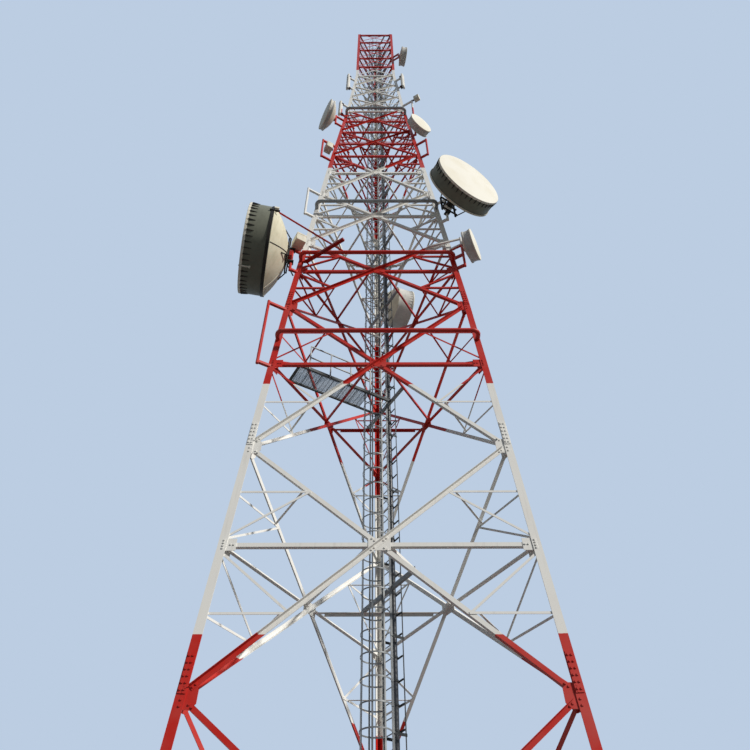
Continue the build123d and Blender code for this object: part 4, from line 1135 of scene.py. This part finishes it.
# Radio units: leg, height, place outwards and sideways of the leg, where the arm starts, and size.
UNITS = {
    "radio_unit_left": ("left", 10.76, 0.115, 0.1, 0.01, (0.19, 0.25, 0.22)),
    "radio_unit_upper_left": ("left", 15.27, 0.12, 0.0, 0.01, (0.158, 0.2, 0.24)),
    "radio_unit_right": ("right", 18.33, 0.395, 0.0, 0.25, (0.15, 0.13, 0.17)),
}


def rounded_box(size, edge):
    """Box with rounded upright edges: its outline is a rectangle with quarter circles, with eased ends."""
    turn = np.linspace(0, 2 * np.pi, 24, endpoint=False) + np.pi / 24
    way = ways_at(turn)[:, :2]
    outline = np.sign(way) * (np.array(size[:2]) / 2 - edge) + way * edge
    shares, ease = np.array([0.96, 1, 1, 0.96]), 0.004
    heights = np.array([0, ease, size[2] - ease, size[2]]) - size[2] / 2
    return stacked(outline * shares[:, None, None], heights)


def unit_shape(size):
    """Radio unit: a housing with eased edges, a lid, a back plate and a handle under it."""
    depth, width, height = size
    housing = rounded_box((depth * 0.94, width - 0.008, height - 0.01), 0.012)
    lid = lifted(rounded_box((depth, width, height * 0.18), 0.014), (0, 0, height * 0.41))
    plate = lifted(rounded_box((0.01, width, height * 0.9), 0.004), (-depth / 2 + 0.005, 0, 0))
    path = spots(depth * 0.3, [-0.04, -0.04, 0.04, 0.04], [0, -0.03, -0.03, 0])
    grip = lifted(carried(circle(0.006, 8), path, (1, 0, 0)), (0, 0, -height / 2 + 0.012))
    return joined([housing, lid, plate, grip])


class DressEquipment(bpy.types.Operator):
    """Builds the panel antennas with their clamps, and the radio units with their arms"""

    bl_idname = "tower.dress_equipment"
    bl_label = "Antennas and radio units"

    def execute(self, context):
        stands_for = ["panel_antennas"]
        for name, (leg, low, high, *size) in ANTENNAS.items():
            origin, middle = corner(low) * (1, 1, 0), (low + high) / 2
            cover = at_leg(antenna_cover(middle, *size), leg, origin)
            piece(name, cover, "housing", stands_for, 30)
            stands_for = []
            grips = at_leg(antenna_clamps(middle, *size), leg, origin)
            piece(f"{name}_clamps", grips, "dark")
        stands_for = ["radio_units"]
        for name, (leg, height, outwards, sideways, root, size) in UNITS.items():
            end = np.array([-outwards, -sideways, 0.0])
            box = at_leg(lifted(unit_shape(size), end), leg, corner(height))
            piece(name, box, "ivory", stands_for, 30)
            stands_for = []
            arm = bars(box_outline(0.034, 0.034), end / np.linalg.norm(end) * root, end)
            piece(f"{name}_arm", at_leg(arm, leg, corner(height)), "dark")
        return {"FINISHED"}


class DressFeet(bpy.types.Operator):
    """Adds the anchor bolts with their nuts on the base plates"""

    bl_idname = "tower.dress_feet"
    bl_label = "Anchor bolts"

    def execute(self, context):
        half, plate_top = 0.12, 0.025
        places = np.array([(-1, -1, 0), (-1, 1, 0), (1, -1, 0), (1, 1, 0)]) * half
        origins = spun(places, LADDER_TURN) + corner(0, -FOOT_INSET) + (0, 0, plate_top)
        nut = revolved([(0, 0.026), (0.003, 0.026), (0.003, 0.021), (0.022, 0.021)], 6)
        rod = revolved([(0.0, 0.0115), (0.055, 0.0115), (0.06, 0.009)], 12)
        four = joined([repeated(nut, origins), repeated(rod, origins)])
        piece("anchor_nuts", on_three(four), "zinc")
        return {"FINISHED"}


class BuildStage(bpy.types.Operator):
    """Sets the floor, the soft light and the camera at the photograph's viewing angle"""

    bl_idname = "tower.build_stage"
    bl_label = "Stage"

    def execute(self, context):
        scene = context.scene
        mesh = bpy.data.meshes.new("studio_floor")
        rim = spots(*circle(FLOOR_RADIUS, FLOOR_SIDES).T, FLOOR_HEIGHT)
        mesh.from_pydata(rim, [], [list(range(FLOOR_SIDES))])
        mesh.materials.append(troweled_plaster())
        in_scene("studio_floor", mesh)

        world = bpy.data.worlds.new("studio")
        scene.world = world
        world.use_nodes = True
        tree = world.node_tree
        tree.nodes.clear()
        seen = node(tree, "ShaderNodeBackground", {"Color": linear("#BCCDE2"), "Strength": SKY_SHOWN})
        glow = node(tree, "ShaderNodeBackground", {"Color": linear("#DDE6F2"), "Strength": SKY_GLOW})
        inputs = {0: seen_directly(tree), 1: glow.outputs[0], 2: seen.outputs[0]}
        mix = node(tree, "ShaderNodeMixShader", inputs)
        node(tree, "ShaderNodeOutputWorld", {"Surface": mix.outputs[0]})

        lamp = bpy.data.lights.new("key_light", "SUN")
        lamp.energy, lamp.angle = SUN_STRENGTH, SUN_ANGLE
        lamp.color = (1.0, 0.97, 0.92)
        in_scene("key_light", lamp).rotation_euler = (SUN_TILT, 0, SUN_TURN)

        camera = bpy.data.cameras.new("camera")
        camera.sensor_width, camera.lens = SENSOR_WIDTH, CAMERA_FOCUS * SENSOR_WIDTH
        camera.clip_start, camera.clip_end = 0.05, 500
        eye = in_scene("camera", camera)
        yaw = Matrix.Rotation(-CAMERA_YAW, 4, "Z")
        spot = yaw @ Vector(CAMERA_PLACE) + Vector((0, AXIS_Y, 0))
        tilt = Matrix.Rotation(math.pi / 2 + CAMERA_PITCH, 4, "X")
        eye.matrix_world = Matrix.Translation(spot) @ yaw @ tilt @ Matrix.Rotation(CAMERA_ROLL, 4, "Z")
        scene.camera = eye
        scene.view_settings.view_transform = "Standard"
        return {"FINISHED"}


class TowerPanel(bpy.types.Panel):
    """Lists the tower's operators, sizes and colours"""

    bl_idname = "TOWER_PT_dressing"
    bl_label = "Cell tower"
    bl_space_type = "VIEW_3D"
    bl_region_type = "UI"
    bl_category = "Tower"

    def draw(self, context):
        for operator in OPERATORS:
            self.layout.operator(operator.bl_idname)
        for group in (context.scene.tower_sizes, context.scene.tower_colours):
            for name in group.__annotations__:
                self.layout.prop(group, name)


OPERATORS = (
    PaintLattice,
    DressLadder,
    DressFeeder,
    DressDishes,
    DressJoints,
    DressTubes,
    DressBracing,
    DressDeck,
    DressEquipment,
    DressFeet,
    BuildStage,
)
CLASSES = (TowerColours, TowerSizes, *OPERATORS, TowerPanel)


def register():
    for cls in CLASSES:
        bpy.utils.register_class(cls)
    bpy.types.Scene.tower_colours = PointerProperty(type=TowerColours)
    bpy.types.Scene.tower_sizes = PointerProperty(type=TowerSizes)


def unregister():
    del bpy.types.Scene.tower_sizes
    del bpy.types.Scene.tower_colours
    for cls in reversed(CLASSES):
        bpy.utils.unregister_class(cls)


def main():
    register()
    bpy.ops.tower.paint_lattice()
    bpy.ops.tower.dress_ladder()
    bpy.ops.tower.dress_feeder()
    bpy.ops.tower.dress_dishes()
    bpy.ops.tower.dress_joints()
    bpy.ops.tower.dress_tubes()
    bpy.ops.tower.dress_bracing()
    bpy.ops.tower.dress_deck()
    bpy.ops.tower.dress_equipment()
    bpy.ops.tower.dress_feet()
    bpy.ops.tower.build_stage()


if __name__ == "__main__":
    main()
